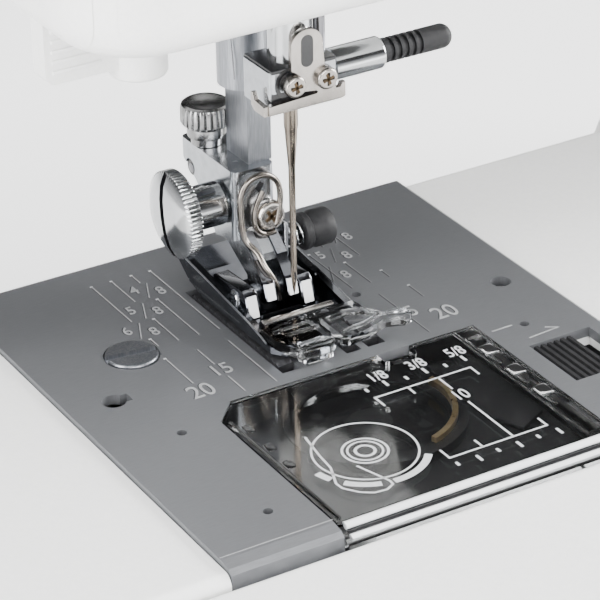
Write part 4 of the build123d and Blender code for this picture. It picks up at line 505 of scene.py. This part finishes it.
def cover_print():
    """Inch scale and threading diagram printed on the clear cover."""
    bm = bmesh.new()

    def line(points, width=0.31):
        add_stroke(bm, points, width, PRINT_Z, PRINT_Z + 0.02)

    for number in range(6):
        x = FIRST_TICK + EIGHTH_INCH * number
        reach = 1.5 if number % 2 else 0.9
        line([(x, -21.3), (x, -21.3 + reach)], 0.42)
        line([(x, -42.6), (x, -42.6 - reach)], 0.42)
    line([(SCALE_X0, -25.6), (SCALE_X0, SCALE_BACK), (SCALE_X1, SCALE_BACK), (SCALE_X1, -25.3)])
    line([(4.0, SCALE_BACK), (4.0, -25.0)])
    line([(8.9, SCALE_BACK), (8.9, -26.7)])
    line([(8.85, -30.6), (8.85, SCALE_FRONT + 0.1)])
    line([(SCALE_X0, -39.0), (SCALE_X0, SCALE_FRONT), (SCALE_X1, SCALE_FRONT), (SCALE_X1, -39.2)])
    line([(4.0, SCALE_FRONT), (4.0, -39.3)])
    cx, cy = DIAGRAM
    line(arc(cx, cy, 7.07, 0, 360), 0.3)
    line(arc(cx, cy, 3.05, 0, 360), 0.34)
    line(arc(cx, cy, 2.35, 0, 360), 0.3)
    line(arc(cx, cy, 1.3, 0, 360), 0.42)
    for start, end in ((190, 206), (219, 253), (265, 322)):
        line(arc(cx, cy, 8.3, start, end), 1.05)
    line([(cx - 4.9, cy + 7.1), (cx - 5.7, cy + 2.0), (cx - 6.0, cy - 1.2), (cx - 7.4, cy - 4.8),
          (cx - 7.3, cy - 6.2), (cx - 5.9, cy - 8.2), (cx - 4.4, cy - 9.3), (cx - 2.6, cy - 9.5),
          (cx - 1.3, cy - 8.8), (cx - 1.2, cy - 7.9), (cx - 2.9, cy - 2.6)], 0.32)
    place_mesh("cover_print", bm, print_white, "hook_cover")
    for text, x in (("1/8", 1.6), ("3/8", 7.9), ("5/8", 14.3)):
        label("cover_numeral_" + text[0], text, (x + 0.5, -18.4, PRINT_Z), 2.3, print_white, "hook_cover",
              bold=0.04, squeeze=0.72)
    label("cover_numeral_10", "10", (9.0, -28.6, PRINT_Z), 2.5, print_white, "hook_cover", bold=0.04,
          squeeze=0.7)


def cover_mouldings():
    """Ribs, clips and the rounded front lip of the clear cover; the lip's two rolls are painted light grey as
    highlights, with a black strip between them as painted shade.
    """
    ribs = bmesh.new()
    add_box(ribs, (17.1, COVER_Y0 + 0.3, 0.02), (17.6, COVER_Y1 - 0.6, 0.32), 0.12)
    add_box(ribs, (COVER_X0 + 0.5, COVER_Y0 + 0.3, 0.02), (COVER_X0 + 1.0, -18.2, 0.28), 0.12)
    add_box(ribs, (COVER_X0 + 3.2, COVER_Y1 - 0.7, 0.02), (4.8, COVER_Y1 - 0.2, 0.3), 0.12)
    add_box(ribs, (10.9, COVER_Y1 - 0.7, 0.02), (COVER_X1 - 0.6, COVER_Y1 - 0.2, 0.3), 0.12)
    add_box(ribs, (COVER_X1 - 0.6, COVER_Y0 + 0.3, 0.02), (COVER_X1 - 0.1, COVER_Y1 - 0.5, 0.3), 0.12)
    for y in (-20.5, -27.0, -33.5):
        add_box(ribs, (17.9, y - 1.3, -0.2), (20.1, y + 1.3, 0.35), 0.3)
        add_box(ribs, (18.2, y - 4.0, -0.2), (18.7, y - 1.5, 0.28), 0.15)
    for y in (-21.0, -26.5, -31.5):
        add_box(ribs, (COVER_X0 + 1.4, y - 0.9, -0.2), (COVER_X0 + 2.6, y + 0.9, 0.26), 0.2)
    place_mesh("cover_ribs", ribs, clear, "hook_cover")
    # The roll and bead take the painted highlight colour; the black rod between them is painted shade in the
    # lip's groove.
    for name, look, middle, top, reach in (("cover_lip_roll", lip_painted_highlight, -46.95, -0.15, 0.62),
                                           ("cover_lip_groove_shade", black_gloss, -47.75, -0.95, 0.30),
                                           ("cover_lip_bead", lip_painted_highlight, -48.5, -1.15, 0.55)):
        roll = bmesh.new()
        section = []
        for angle in range(0, 360, 18):
            turn = math.radians(angle)
            section.append((middle + reach * math.cos(turn), top - 0.35 + 0.5 * math.sin(turn)))
        add_prism(roll, section, "x", COVER_X0 + 0.9, COVER_X1 - 0.9)
        place_mesh(name, roll, look, "hook_cover", soft_angle=60)


def under_cover():
    """What shows through the cover: the black hook race and holder, and a brass strip."""
    lo, hi = local_box("bobbin")
    hx, hy = (lo.x + hi.x) / 2, (lo.y + hi.y) / 2
    race = bmesh.new()
    add_box(race, (COVER_X0 + 0.6, -45.6, -5.2), (COVER_X1 - 0.6, -14.2, -4.9), 0.1)
    wall = arc(hx, hy, 13.4, 200, 338, 24) + arc(hx, hy, 11.2, 338, 200, 24)
    add_prism(race, wall, "z", -4.85, -3.4, 0.15)
    add_prism(race, [(12.6, -14.6), (19.4, -14.6), (19.4, -33.0), (14.6, -35.5), (12.2, -30.0)], "z",
              -4.85, -4.2, 0.2)
    place_mesh("hook_race_cover", race, black_matte, "frame")
    strip = bmesh.new()
    add_prism(strip, arc(hx, hy, 11.9, 285, 372, 24) + arc(hx, hy, 11.1, 372, 285, 24), "z", -3.6, -2.6)
    place_mesh("race_brass_strip", strip, brass, "frame")


def latch_well_shade():
    """Black lining of the window that the latch slides in, beside and behind the latch: painted shade that
    hides the white casing in the pocket.
    """
    well = bmesh.new()
    left, right, front, back = 30.1, 35.1, -34.2, -22.1
    add_box(well, (left, front, -7.9), (right, back, -4.8))
    add_box(well, (right - 0.12, front, -4.85), (right + 0.06, back, -3.15))
    add_box(well, (left, back - 0.06, -4.85), (right, back + 0.06, -3.15))
    place_mesh("latch_well_shade", well, black_matte, "frame")


# ---- needle, its clamp and the thread guide ----------------------------------------------------
def detailed_needle():
    """Ground needle: point, grooved blade, shoulder and shank."""
    lo, hi = local_box("needle")
    tip, top, shank = lo.z, hi.z, hi.x
    blade = 0.44

    def grooved(angle, height):
        """Long groove on the front of the blade."""
        depth = 0.34 if tip + 3.0 < height < tip + 20.0 else 0.0
        return 1.0 - depth * max(0.0, math.cos(angle + math.pi / 2)) ** 10

    profile = [(0.02, tip), (0.16, tip + 0.7), (0.30, tip + 1.7), (blade * 0.93, tip + 3.0),
               (blade, tip + 3.1), (blade * 1.02, tip + 12), (blade * 1.1, tip + 19.9),
               (blade * 1.2, tip + 20.4), (shank * 0.82, tip + 24.3), (shank * 0.9, tip + 25.6),
               (shank, tip + 26.2), (shank, top)]
    bm = bmesh.new()
    add_lathe(bm, profile, (0, 0, 0), "z", 56, grooved)
    piece = place_mesh("needle_detailed", bm, needle_steel, "needle_unit", soft_angle=50)
    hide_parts("needle")
    # The eye is a black box through the blade: painted shade of the hole.
    eye = bmesh.new()
    add_box(eye, (-0.12, -0.47, tip + 2.6), (0.12, 0.47, tip + 3.7), 0.08)
    place_mesh("needle_eye_shade", eye, black_matte, "needle_unit")


def thread_guide_plate():
    """Bent sheet in front of the clamp: windowed tab, lower strip parted by a gap, hooked ends."""
    _, y0, z0 = local_box("threader_plate")[0]
    y1 = y0 + 0.86
    tab = ([(1.6, z0 + 1.55), (-5.9, z0 + 1.4), (-5.9, z0), (5.4, z0), (6.05, z0 + 0.2), (6.05, z0 + 2.3)]
           + [(5.4, z0 + 2.3), (5.3, z0 + 1.6), (4.4, z0 + 1.6)]
           + [(4.3, z0 + 4.6), (2.7, z0 + 5.3), (2.55, z0 + 9.3)]
           + [(0.1 + 2.45 * math.cos(math.radians(a)), z0 + 9.0 + 2.3 * math.sin(math.radians(a)))
              for a in range(10, 171, 16)]
           + [(-2.35, z0 + 5.6), (-1.1, z0 + 5.0), (-0.6, z0 + 3.0), (-0.9, z0 + 2.3), (1.5, z0 + 2.2),
              (1.85, z0 + 1.9)])
    bm = bmesh.new()
    add_prism(bm, tab, "y", y0, y1, 0.1)
    add_prism(bm, [(y0 + 0.2, z0), (y0 + 0.2, z0 + 1.4), (-1.6, z0 + 1.5), (-1.2, z0 + 2.6), (-0.7, z0 + 2.5),
                   (-0.8, z0 + 0.6), (-1.6, z0)], "x", -6.55, -5.85, 0.08)
    piece = place_mesh("thread_guide_plate", bm, nickel, "needle_unit")
    # The thread window is a black oval on the sheet: painted shade of the opening.
    window = bmesh.new()
    add_prism(window, oval(0.1, z0 + 8.15, 0.95, stretch=1.35), "y", y0 - 0.03, y0 + 0.3)
    place_mesh("thread_guide_window_shade", window, black_gloss, "needle_unit")
    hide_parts("threader_plate")


CLAMP_SCREWS = ((-2.1, 39.2), (2.8, 39.3))


def clamp_details():
    """Dark upper half of the clamp block, the threader's shaft, screw recesses painted dark bronze as their
    shade, and black painted shade in the gaps.
    """
    lo, hi = local_box("needle_clamp")
    bm = bmesh.new()
    add_box(bm, (lo.x + 0.25, lo.y - 0.06, hi.z - 0.25), (hi.x - 0.25, hi.y - 0.2, hi.z + 0.35), 0.2)
    place_mesh("clamp_top", bm, black_gloss, "needle_unit")
    tube("threader_shaft", [(3.9, -1.2, hi.z + 0.1), (3.9, -1.2, 57.0)], 0.85, dark_chrome, "needle_unit",
         smooth=False)
    # Cross recesses as flat dark bronze shapes: painted shade in the recesses.
    recess = bmesh.new()
    face = local_box("clamp_fixings")[0].y
    for x, z in CLAMP_SCREWS:
        for turn in (20, 110):
            add_prism(recess, cross_arm(x, z, 0.85, 0.2, turn), "y", face - 0.015, face + 0.25)
    place_mesh("clamp_screw_recess_shade", recess, recess_painted_shade, "needle_unit")
    shade = bmesh.new()
    add_box(shade, (-5.0, -3.66, 36.7), (1.5, -3.58, 38.1))
    x, z = CLAMP_SCREWS[0]
    add_prism(shade, arc(x, z, 2.3, 60, 290, 20) + arc(x, z, 1.75, 290, 60, 20), "y", -3.75, -3.6)
    place_mesh("clamp_shade_gap", shade, black_gloss, "needle_unit")


# ---- presser foot holder ------------------------------------------------------------------------
SCREW_X, SCREW_Z = 0.8, 13.9


def holder_details():
    """Thread wire, ringed screw with its cross recess painted dark as shade, holes painted as black discs of
    shade, release bracket and its spring.
    """
    loop = [(1.6, 7.3, 12.6), (2.4, 7.4, 15.6), (2.3, 7.5, 18.6), (0.9, 7.5, 20.3), (-0.9, 7.5, 20.8),
            (-2.9, 7.5, 20.2), (-4.1, 7.5, 18.4), (-4.1, 7.4, 15.5), (-4.0, 7.2, 12.8), (-3.7, 6.8, 11.2),
            (-2.7, 5.4, 10.1), (-2.5, 4.1, 8.5), (-1.9, 3.3, 7.2), (-1.1, 3.0, 5.6), (-0.7, 3.0, 3.8),
            (-0.65, 3.1, 3.1)]
    piece = tube("guide_wire", loop, 0.44, wire_metal, "presser_unit")
    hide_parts("wire_guide")
    curl = [(-0.2, 7.9, 17.9), (-0.9, 7.8, 16.9), (-1.7, 7.7, 15.2), (-1.9, 7.6, 13.4), (-1.3, 7.5, 11.9),
            (0.2, 7.4, 11.1), (1.4, 7.4, 11.4)]
    tube("guide_wire_curl", curl, 0.42, wire_metal, "presser_unit")
    # Holes as black discs on the holder: painted shade of the openings.
    holes = bmesh.new()
    lo = local_box("foot_holder")[0]
    add_prism(holes, arc(-2.3, 11.3, 0.95, 0, 345, 24), "y", 8.86, 9.3)
    add_prism(holes, arc(21.5, 17.2, 1.3, 0, 345, 24), "x", lo.x + 0.25, lo.x + 0.5)
    add_prism(holes, [(-0.9, 18.0), (-0.1, 19.0), (0.6, 18.5), (-0.2, 17.2)], "y", 8.86, 9.2)
    place_mesh("holder_hole_shades", holes, black_gloss, "presser_unit")
    pin = bmesh.new()
    add_prism(pin, arc(21.5, 17.0, 0.75, 0, 345, 24), "x", lo.x + 0.15, lo.x + 0.4, 0.1)
    place_mesh("holder_hole_pin", pin, dark_chrome, "presser_unit")
    screw = bmesh.new()
    profile = [(0.3, 8.7), (2.1, 8.7), (2.3, 8.2), (2.25, 7.5), (2.0, 7.15), (1.75, 7.1), (1.6, 7.3),
               (1.1, 7.35), (0.2, 7.35)]
    add_lathe(screw, profile, (SCREW_X, 0, SCREW_Z), "y", 64)
    piece = place_mesh("holder_screw_head", screw, bright_nickel, "presser_unit")
    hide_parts("holder_screw")
    # The screw's cross recess as a flat dark bronze shape: painted shade.
    cross = bmesh.new()
    for turn in (35, 125):
        add_prism(cross, cross_arm(SCREW_X, SCREW_Z, 1.05, 0.27, turn), "y", 7.26, 7.6)
    place_mesh("holder_screw_cross_shade", cross, recess_painted_shade, "presser_unit")
    bracket = bmesh.new()
    add_box(bracket, (2.6, 6.9, 6.2), (3.2, 9.6, 12.6), 0.15)
    add_box(bracket, (1.6, 8.2, 11.8), (3.2, 9.8, 12.7), 0.2)
    place_mesh("release_bracket", bracket, holder_steel, "presser_unit")
    turns = [(3.4 + 2.6 * i / 60, 8.5 + 1.75 * math.cos(2 * math.pi * i / 20),
              9.5 + 1.75 * math.sin(2 * math.pi * i / 20)) for i in range(61)]
    tube("release_spring", turns, 0.17, chrome, "presser_unit")


def release_button():
    """Ribbed black button with its shaft."""
    lo, hi = local_box("release_button")
    axis = (0, (lo.y + hi.y) / 2, (lo.z + hi.z) / 2)
    head = bmesh.new()
    radius = (hi.y - lo.y) / 2
    profile = [(1.5, 6.0), (radius - 0.25, 6.0), (radius, 6.2), (radius, 6.9), (radius - 0.3, 7.2),
               (radius - 0.25, 7.5), (radius, 8.0), (radius, hi.x - 0.7), (radius - 0.25, hi.x - 0.25),
               (radius - 0.8, hi.x), (0.2, hi.x)]
    add_lathe(head, profile, axis, "x", 72)
    piece = place_mesh("release_button_head", head, black_matte, "foot_button")
    shaft = bmesh.new()
    add_lathe(shaft, [(0.2, 1.95), (0.95, 2.0), (0.95, 6.1), (0.2, 6.15)], axis, "x", 32)
    place_mesh("release_button_shaft", shaft, dark_chrome, "foot_button")
    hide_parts("release_button")


def thumbscrew():
    """Large coin screw: domed slotted face, knurled rim and stepped barrel."""
    lo, hi = local_box("holder_thumbscrew")
    axis = (0, (lo.y + hi.y) / 2, (lo.z + hi.z) / 2)
    radius = (hi.y - lo.y) / 2
    face = lo.x

    def knurl(angle, height):
        """Ridges on the rim only."""
        on_rim = face + 1.0 < height < face + 2.75
        return 1.0 - (0.035 * (0.5 + 0.5 * math.cos(64 * angle)) if on_rim else 0.0)

    body = bmesh.new()
    profile = [(0.05, face - 0.35), (2.6, face - 0.22), (4.6, face + 0.15), (radius - 0.7, face + 0.7),
               (radius - 0.25, face + 0.95), (radius, face + 1.05), (radius, face + 2.7),
               (radius - 0.2, face + 2.85), (radius - 0.9, face + 3.0), (3.2, face + 3.0), (3.2, -4.75),
               (3.0, -4.62), (2.4, -4.6), (2.4, hi.x)]
    add_lathe(body, profile, axis, "x", 384, knurl)
    slot = bmesh.new()
    add_box(slot, (face - 1.0, -8.0, -0.55), (face + 1.1, 8.0, 0.55))
    slot_turn = Matrix.Rotation(math.radians(81), 3, "X")
    bmesh.ops.rotate(slot, verts=slot.verts, cent=(0, 0, 0), matrix=slot_turn)
    bmesh.ops.translate(slot, verts=slot.verts, vec=axis)
    piece = place_mesh("thumbscrew_turned", body, chrome, "thumbscrew", soft_angle=32)
    # The slot's cut walls take black gloss as painted shade in the slot.
    carve(piece, slot, black_gloss)
    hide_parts("holder_thumbscrew")


def bar_details():
    """Curved run-out where the round bar's flats were milled."""
    curve = [(-3.2, 15.2, 52.0), (-3.25, 13.5, 48.5), (-3.25, 11.4, 44.5), (-3.2, 10.0, 40.0),
             (-3.15, 9.75, 35.0)]
    tube("bar_flat_runout", curve, 0.1, dark_chrome, "presser_unit")


EAR_PROFILE = [(1.5, 1.7), (11.5, 1.7), (11.3, 5.0), (10.8, 5.4), (3.3, 5.9), (2.5, 5.3), (1.5, 2.3)]
TONGUE_PROFILE = [(2.6, 3.3), (2.25, 3.5), (1.75, 4.0), (2.6, 6.3), (3.0, 6.7), (3.5, 7.0), (5.3, 9.3),
                  (5.5, 8.9), (4.2, 6.4), (3.6, 3.3)]


EARS_X = (-6.65, 2.25)          # left faces of the foot's two ears
TONGUES_X = (-3.5, 0.1)         # left faces of the holder's two tongues


def foot_details():
    """Polished ears and tongue tips with painted highlights on their front faces, pin ends, the front cross
    bar over a black slot of painted shade, and the sole's bright rim.
    """
    ears = bmesh.new()
    for x0 in EARS_X:
        add_prism(ears, [(y - 0.04, z + 0.03) for y, z in EAR_PROFILE], "x", x0 - 0.03, x0 + 2.13, 0.28)
    place_mesh("foot_ears", ears, foot_steel, "foot")
    # Front faces of the ears in near-white metal: painted highlight.
    fronts = bmesh.new()
    for x0 in EARS_X:
        add_prism(fronts, [(1.3, 2.25), (1.5, 2.2), (2.5, 5.2), (2.3, 5.25)], "x", x0 + 0.3, x0 + 1.8, 0.1)
    place_mesh("foot_ear_front_highlights", fronts, painted_highlight_metal, "foot")
    tips = bmesh.new()
    for x0 in TONGUES_X:
        add_prism(tips, TONGUE_PROFILE, "x", x0, x0 + 1.8, 0.15)
    place_mesh("holder_tongue_tips", tips, foot_steel, "presser_unit")
    # Front faces of the tongues in near-white metal: painted highlight.
    bright = bmesh.new()
    for x0 in TONGUES_X:
        add_prism(bright, [(1.6, 4.05), (1.8, 3.95), (2.6, 6.2), (2.4, 6.3)], "x", x0 + 0.2, x0 + 1.6, 0.1)
    place_mesh("holder_tongue_front_highlights", bright, painted_highlight_metal, "presser_unit")
    tops = bmesh.new()
    for x0 in TONGUES_X:
        add_prism(tops, [(4.9, 9.25), (5.0, 9.15), (8.3, 11.95), (8.2, 12.05)], "x", x0 + 0.15, x0 + 1.65)
    place_mesh("holder_tongue_tops", tops, ground_steel, "presser_unit")
    pins = bmesh.new()
    add_lathe(pins, [(0.2, -7.0), (0.85, -7.0), (1.05, -6.85), (1.15, -6.6), (0.2, -6.5)],
              (0, 5.0, 4.0), "x", 32)
    place_mesh("foot_pin_ends", pins, chrome, "foot")
    bar = bmesh.new()
    add_box(bar, (-6.7, -3.0, 2.9), (4.8, -1.9, 3.75), 0.38)
    place_mesh("foot_cross_bar", bar, bright_nickel, "foot")
    # Black strip below the cross bar: painted shade in the slot.
    slot = bmesh.new()
    add_box(slot, (-6.2, -3.42, 2.02), (4.4, -3.05, 2.85), 0.1)
    place_mesh("foot_cross_slot_shade", slot, black_gloss, "foot")
    rim = [(-7.85, -5.6, 2.05), (-7.85, -3.4, 2.75), (-7.8, 6.0, 3.95), (-7.8, 16.8, 5.15),
           (-7.6, 19.2, 5.25), (-6.8, 19.4, 5.3)]
    tube("foot_rim_left", rim, 0.14, ground_steel, "foot")
    rim = [(7.8, -3.4, 2.75), (7.8, 6.0, 3.95), (7.8, 16.6, 5.15)]
    tube("foot_rim_right", rim, 0.13, holder_steel, "foot")


def toe_details():
    """Ridges and webs that give the clear toes their broken highlights."""
    bm = bmesh.new()
    add_box(bm, (-7.0, -6.4, 3.4), (-1.0, -5.7, 3.95), 0.25)
    add_box(bm, (-6.0, -8.6, 3.9), (-0.9, -7.8, 4.3), 0.2)
    add_box(bm, (-6.2, -11.7, 1.6), (-0.6, -11.2, 3.9), 0.2)
    add_prism(bm, [(1.2, -6.4), (4.4, -5.6), (7.2, -6.6), (8.6, -8.6), (8.0, -9.0), (6.4, -7.4), (4.2, -6.6),
                   (1.4, -7.2)], "z", 3.35, 4.0, 0.25)
    add_prism(bm, [(1.3, -10.9), (5.0, -10.6), (8.4, -9.4), (8.2, -9.0), (5.0, -10.1), (1.3, -10.4)], "z",
              3.35, 3.9, 0.2)
    add_prism(bm, [(9.3, -9.1), (11.7, -9.2), (12.2, -9.9), (12.0, -10.7), (11.2, -10.8), (9.2, -9.9)], "z",
              3.35, 3.9, 0.25)
    place_mesh("toe_ridges", bm, frosted, "foot")


# ---- knobs --------------------------------------------------------------------------------------
def knob_details():
    """Fluted top knob with a dished face and a collar below."""
    lo, hi = local_box("holder_knob")
    cx, cy = (lo.x + hi.x) / 2, (lo.y + hi.y) / 2
    radius = (hi.x - lo.x) / 2

    def flutes(angle, height):
        """Finger flutes on the head, none on the collar."""
        deep = 0.085 if lo.z + 3.2 < height < hi.z - 0.4 else 0.0
        return 1.0 - deep * max(0.0, math.cos(24 * angle)) ** 1.5

    knob = bmesh.new()
    profile = [(2.3, 21.3), (2.3, 22.3), (2.75, 22.5), (2.85, 23.2), (2.75, 23.9), (2.9, 24.15),
               (radius - 0.3, 24.3), (radius, 24.7), (radius, hi.z - 0.7), (radius - 0.2, hi.z - 0.2),
               (radius - 0.6, hi.z), (radius - 1.1, hi.z - 0.03), (1.6, hi.z - 0.2), (0.6, hi.z - 0.3),
               (0.05, hi.z - 0.3)]
    add_lathe(knob, profile, (cx, cy, 0), "z", 240, flutes)
    piece = place_mesh("knob_fluted", knob, knob_metal, "top_knob", soft_angle=30)
    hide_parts("holder_knob")


def lever_details():
    """Finger grooves across the threader lever's pad."""
    left = local_box("threader_lever")[0].x + 0.9
    pad_front, lowest, pitch = 8.2, 43.0, 1.45
    bm = bmesh.new()
    for row in range(6):
        z = lowest + pitch * row
        add_box(bm, (left, pad_front - 0.42, z), (-24.0, pad_front + 0.2, z + 0.62), 0.25)
    place_mesh("lever_grip_ribs", bm, white_plastic, "threader")


# ---- casing ---------------------------------------------------------------------------------------
SKIN_DEPTH, SKIN_THICK = 0.12, 1.5
SKIN_STEPS = 24
RIM_ROWS = (0.58, 0.5, 0.4, 0.3, 0.2, 0.1, 0.0)        # rows down a rim fillet, as parts of its radius
CORNER_SKINS = (         # name, corner's centre, radius, outward side, low and high end, body, rim fillet
    ("head_front_skin", (-32.2, -19.0), 12, (-1, -1), 64.6, 166.5, "frame", 5.5),
    ("head_back_skin", (-32.2, 50.0), 12, (-1, 1), 64.6, 190.0, "frame", 5.5),
    ("pillar_front_skin", (278.0, -19.0), 12, (1, -1), -0.6, 190.0, "frame", 0.0),
    ("pillar_back_skin", (278.0, 50.0), 12, (1, 1), -0.6, 190.0, "frame", 0.0),
    ("lid_skin", (-32.2, -19.0), 12, (-1, -1), 168.5, 189.0, "lid", 0.0),
    ("base_left_skin", (74.0, -84.0), 14, (-1, -1), -77.8, -3.0, "frame", 0.0),
    ("base_right_skin", (276.0, -84.0), 14, (1, -1), -77.8, -3.0, "frame", 0.0),
    ("base_back_skin", (276.0, 72.0), 14, (1, 1), -77.8, -3.0, "frame", 0.0),
    ("tray_front_skin", (-118.0, -82.0), 16, (-1, -1), -78.5, -3.4, "tray", 0.0),
    ("tray_back_skin", (-118.0, 15.3), 16, (-1, 1), -78.5, -3.4, "tray", 0.0))


def corner_skin(name, centre, radius, side, z0, z1, body, rim):
    """Quarter-round skin just inside a rounded upright corner; rim is the fillet of its lower edge."""
    bm = bmesh.new()
    angles = [math.radians(90) * i / SKIN_STEPS for i in range(SKIN_STEPS + 1)]
    heights = [z0 - rim * part for part in RIM_ROWS] if rim > 0 else [z0]
    heights.append(z1)
    outer, inner = [], []
    for z in heights:
        drop = max(0.0, z0 - z)
        inset = rim - math.sqrt(rim * rim - drop * drop) if rim > 0 else 0.0
        for rows, depth in ((outer, SKIN_DEPTH), (inner, SKIN_DEPTH + SKIN_THICK)):
            r = radius - depth - inset
            rows.append([bm.verts.new((centre[0] + side[0] * r * math.cos(a),
                                       centre[1] + side[1] * r * math.sin(a), z)) for a in angles])
    for rows in (outer, inner):
        for low, high in zip(rows, rows[1:]):
            for i in range(SKIN_STEPS):
                bm.faces.new((low[i], low[i + 1], high[i + 1], high[i]))
    for out, back in ((outer[0], inner[0]), (outer[-1], inner[-1])):
        for i in range(SKIN_STEPS):
            bm.faces.new((out[i], out[i + 1], back[i + 1], back[i]))
    for i in (0, SKIN_STEPS):
        for k in range(len(heights) - 1):
            bm.faces.new((outer[k][i], outer[k + 1][i], inner[k + 1][i], inner[k][i]))
    place_mesh(name, bm, white_plastic, body)


def corner_skins():
    """Covers the slits that the casing's square-cornered hollows leave in its rounded corners."""
    for skin in CORNER_SKINS:
        corner_skin(*skin)


engrave_plate()
plate_edge_highlights()
cover_print()
cover_mouldings()
under_cover()
latch_well_shade()
detailed_needle()
thread_guide_plate()
clamp_details()
holder_details()
release_button()
thumbscrew()
bar_details()
foot_details()
toe_details()
knob_details()
lever_details()
corner_skins()

# ---- camera, floor and light ---------------------------------------------------------------
CAMERA_AT = (-176.97, -304.51, 195.56)
CAMERA_AZIMUTH, CAMERA_ELEVATION, CAMERA_ROLL = -30.29, 28.53, -1.105
CAMERA_LENS = 171.54


def make_camera():
    """Long-lens camera at the photograph's place, turned by azimuth, elevation and roll."""
    azimuth, elevation, roll = (math.radians(a) for a in (CAMERA_AZIMUTH, CAMERA_ELEVATION, CAMERA_ROLL))
    back = Vector((math.sin(azimuth) * math.cos(elevation), -math.cos(azimuth) * math.cos(elevation),
                   math.sin(elevation)))
    right = Vector((0, 0, 1)).cross(back).normalized()
    up = back.cross(right)
    cam_x = right * math.cos(roll) + up * math.sin(roll)
    cam_y = up * math.cos(roll) - right * math.sin(roll)
    data = bpy.data.cameras.new("camera")
    data.lens = CAMERA_LENS
    data.sensor_width = 36.0
    data.clip_start = 0.01
    data.clip_end = 20.0
    camera = bpy.data.objects.new("camera", data)
    turn = Matrix((cam_x, cam_y, back)).transposed().to_4x4()
    camera.matrix_world = Matrix.Translation(at(*CAMERA_AT)) @ turn
    bpy.context.scene.collection.objects.link(camera)
    bpy.context.scene.camera = camera


def area_light(name, place, aim, size, power):
    """Softbox at a place, turned towards its aim."""
    data = bpy.data.lights.new(name, "AREA")
    data.shape = "RECTANGLE"
    data.size, data.size_y = size
    data.energy = power
    lamp = bpy.data.objects.new(name, data)
    lamp.location = at(*place)
    direction = at(*aim) - lamp.location
    lamp.rotation_euler = direction.to_track_quat("-Z", "Y").to_euler()
    bpy.context.scene.collection.objects.link(lamp)


FLOOR_GLOW = 0.7
SKY_BANDS = ((0.0, 1.0), (0.10, 0.6), (0.24, 0.05), (0.66, 0.05), (0.80, 0.5), (1.0, 0.9))


def make_sky():
    """Studio surroundings that depend on height only: pale at the floor, dark walls, bright overhead."""
    world = bpy.data.worlds.new("studio")
    world.use_nodes = True
    tree = world.node_tree
    coords = tree.nodes.new("ShaderNodeTexCoord")
    split = tree.nodes.new("ShaderNodeSeparateXYZ")
    bands = tree.nodes.new("ShaderNodeValToRGB")
    tree.links.new(coords.outputs["Generated"], split.inputs["Vector"])
    tree.links.new(split.outputs["Z"], bands.inputs["Fac"])
    stops = bands.color_ramp.elements
    while len(stops) < len(SKY_BANDS):
        stops.new(0.5)
    for stop, (height, level) in zip(stops, SKY_BANDS):
        stop.position = height
        stop.color = (level, level, level * 1.01, 1)
    tree.links.new(bands.outputs["Color"], tree.nodes["Background"].inputs["Color"])
    bpy.context.scene.world = world


def make_stage():
    """Pale floor that glows a little, under the studio surroundings."""
    mesh = bpy.data.meshes.new("floor")
    bm = bmesh.new()
    bmesh.ops.create_grid(bm, x_segments=2, y_segments=2, size=6.0)
    bm.to_mesh(mesh)
    bm.free()
    floor = bpy.data.objects.new("floor", mesh)
    mat, _, shader = new_material("floor", (0.95, 0.95, 0.95), 0.7)
    shader.inputs["Emission Color"].default_value = (1, 1, 1, 1)
    shader.inputs["Emission Strength"].default_value = FLOOR_GLOW
    mesh.materials.append(mat)
    bpy.context.scene.collection.objects.link(floor)
    make_sky()


make_camera()
make_stage()
area_light("top", (60, -60, 900), (20, 0, 0), (0.9, 0.7), 5)
area_light("left", (-800, -150, 330), (0, 0, 20), (0.5, 0.9), 20)
area_light("front", (-120, -900, 420), (0, 0, 10), (0.8, 0.35), 15)
area_light("right", (850, -250, 300), (30, 0, 20), (0.4, 0.5), 30)
